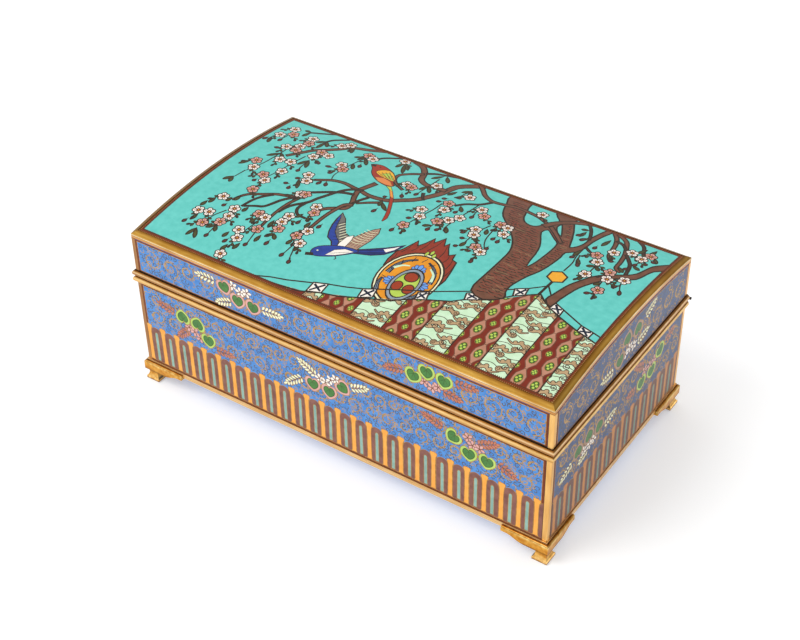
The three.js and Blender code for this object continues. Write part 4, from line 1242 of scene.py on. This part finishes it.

# ---- the metal parts, and the plain enamel inside and underneath ----
# Gilt brass is warm yellow. On the rims, the sloping frame and the feet, bands of colour paint
# highlights on the high lines and paint shade where parts meet. The strips are brushed along their
# length. The pin is oxidised steel: dull, almost black.

rim_low, rim_high = reach("body_rim")[0][2], reach("lid_rim")[1][2]
seam = (reach("body_rim")[1][2] + reach("lid_rim")[0][2]) / 2
# The bead rims: bands by the level paint highlight lines along the beads and paint shade in the groove at the
# seam between lid and body.
gilt_bead = gilt("gilt_bead_rim", "#ffffff", "#e6dccb", (8, 1, 1), stops=[
    (rim_low, "#7a5320"), (rim_low + 0.5, "#d9a55c"), (seam - 1.7, "#e6b568"), (seam - 0.9, "#f7d596"),
    (seam - 0.45, "#8a5a20"), (seam, "#241405"), (seam + 0.4, "#6b3f14"), (seam + 0.9, "#d9a468"),
    (seam + 1.5, "#b07a42"), (rim_high - 0.8, "#f3d3a2"), (rim_high - 0.35, "#8f5f2a"), (rim_high, "#2a1606")])
gilt_band = gilt("gilt_foot_band", "#efcb92", "#d6a768", (8, 1, 1))
# The sloping frame: bands by the distance from the arch's centre paint a bright highlight line near its lower
# edge, dark lines beside it, and shade on the slope above.
gilt_frame = gilt("gilt_sloping_frame", "#ffffff", "#dccbb0", (6, 6, 1), 0.38,
                  centre=((FRONT + BACK) / 2, LID_EDGE + ARCH_RISE - ARCH_RADIUS),
                  stops=[(ARCH_RADIUS + rise, colour) for rise, colour in (
                      (-1.75, "#a8642c"), (-1.5, "#e0aa70"), (-0.75, "#e6b478"), (-0.6, "#7c4a18"),
                      (-0.4, "#fff0cc"), (-0.12, "#e9cc92"), (0.05, "#96702e"), (0.45, "#a5803a"),
                      (0.85, "#7c5420"))])
gilt_strip = gilt("gilt_corner_strip", "#f4c67c", "#d8a158", (1, 1, 8))
# The front-left corner strips are a darker brown than those of the other corners.
darker_strip = gilt("worn_corner_strip", "#b9885a", "#9a6c40", (1, 1, 8))
foot_top = reach("foot_front_right")[1][2]
# The feet: bands by the level paint highlights on the rounded edges and paint shade in the crevices at the
# bottom, at the waist and under the body.
gilt_foot = gilt("gilt_bracket_foot", "#ffffff", "#cfac70", (1, 1, 1), 0.3, stops=[
    (0.0, "#8c5c22"), (0.7, "#fad48a"), (3.0, "#ecb85c"), (4.6, "#a06c22"), (5.2, "#6e4614"), (6.2, "#e2a642"),
    (foot_top - 1.6, "#eeb852"), (foot_top - 0.7, "#fadc90"), (foot_top - 0.1, "#8c5e20")])
gilt_hinge = gilt("gilt_hinge", "#c9954c", "#9a6a34", (6, 1, 1), 0.4)
dark_pin = gilt("dark_hinge_pin", "#4a3a2c", "#2a211b", (6, 1, 1), 0.45)
counter_enamel = enamel("counter_enamel", "#3f6fc0", "#35609f", 0.34)

WEARS = {"body_rim": gilt_bead, "lid_rim": gilt_bead, "lid_top_frame": gilt_frame, "body_base_band": gilt_band,
         "hinge_body_leaf": gilt_hinge, "hinge_lid_leaf": gilt_hinge, "hinge_pin": dark_pin,
         "box_body": counter_enamel, "lid_shell": counter_enamel}
for name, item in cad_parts.items():
    wears = WEARS.get(name) or (gilt_foot if name.startswith("foot") else
                                darker_strip if name.endswith("front_left") else gilt_strip)
    for index in range(max(1, len(item.data.materials))):
        if len(item.data.materials) <= index:
            item.data.materials.append(wears)
        else:
            item.data.materials[index] = wears

# ---- stage ----

FLOOR_SIZE, FLOOR_GAP = 6, 0.0002
SKY_FROM = (-0.62, -0.45, 0.7)  # the side that most of the soft light comes from

camera()
bpy.ops.object.select_all(action="DESELECT")
bpy.ops.mesh.primitive_plane_add(size=FLOOR_SIZE, location=(0, 0, -FLOOR_GAP))
floor = bpy.context.object
floor.name = "floor"
paper = new_material("white_paper_floor")        # matt, and lit a little from below like a light table
finish_material(paper, node(paper, "ShaderNodeBsdfPrincipled", {"Base Color": (0.77, 0.77, 0.77, 1),
                "Roughness": 0.9, "Emission Color": (1, 1, 1, 1), "Emission Strength": 0.35}))
floor.data.materials.append(paper)

world = bpy.data.worlds.new("studio")
world.use_nodes = True
sky = world.node_tree.nodes["Background"]
way = node(world, "ShaderNodeTexCoord")
facing = node(world, "ShaderNodeVectorMath", {0: way.outputs["Generated"], 1: SKY_FROM},
              operation="DOT_PRODUCT")
soft = node(world, "ShaderNodeMapRange", {"Value": facing.outputs["Value"], "From Min": -0.8, "From Max": 1.0,
            "To Min": 0.22, "To Max": 1.02})
world.node_tree.links.new(soft.outputs["Result"], sky.inputs["Strength"])
sky.inputs["Color"].default_value = (1, 1, 1, 1)
bpy.context.scene.world = world
lamp("key", (-1.1, -1.5, 2.2), 1.6, 30)
lamp("back", (0.6, 0.95, 0.85), 0.8, 2.2)
bpy.context.scene.view_settings.view_transform = "Standard"
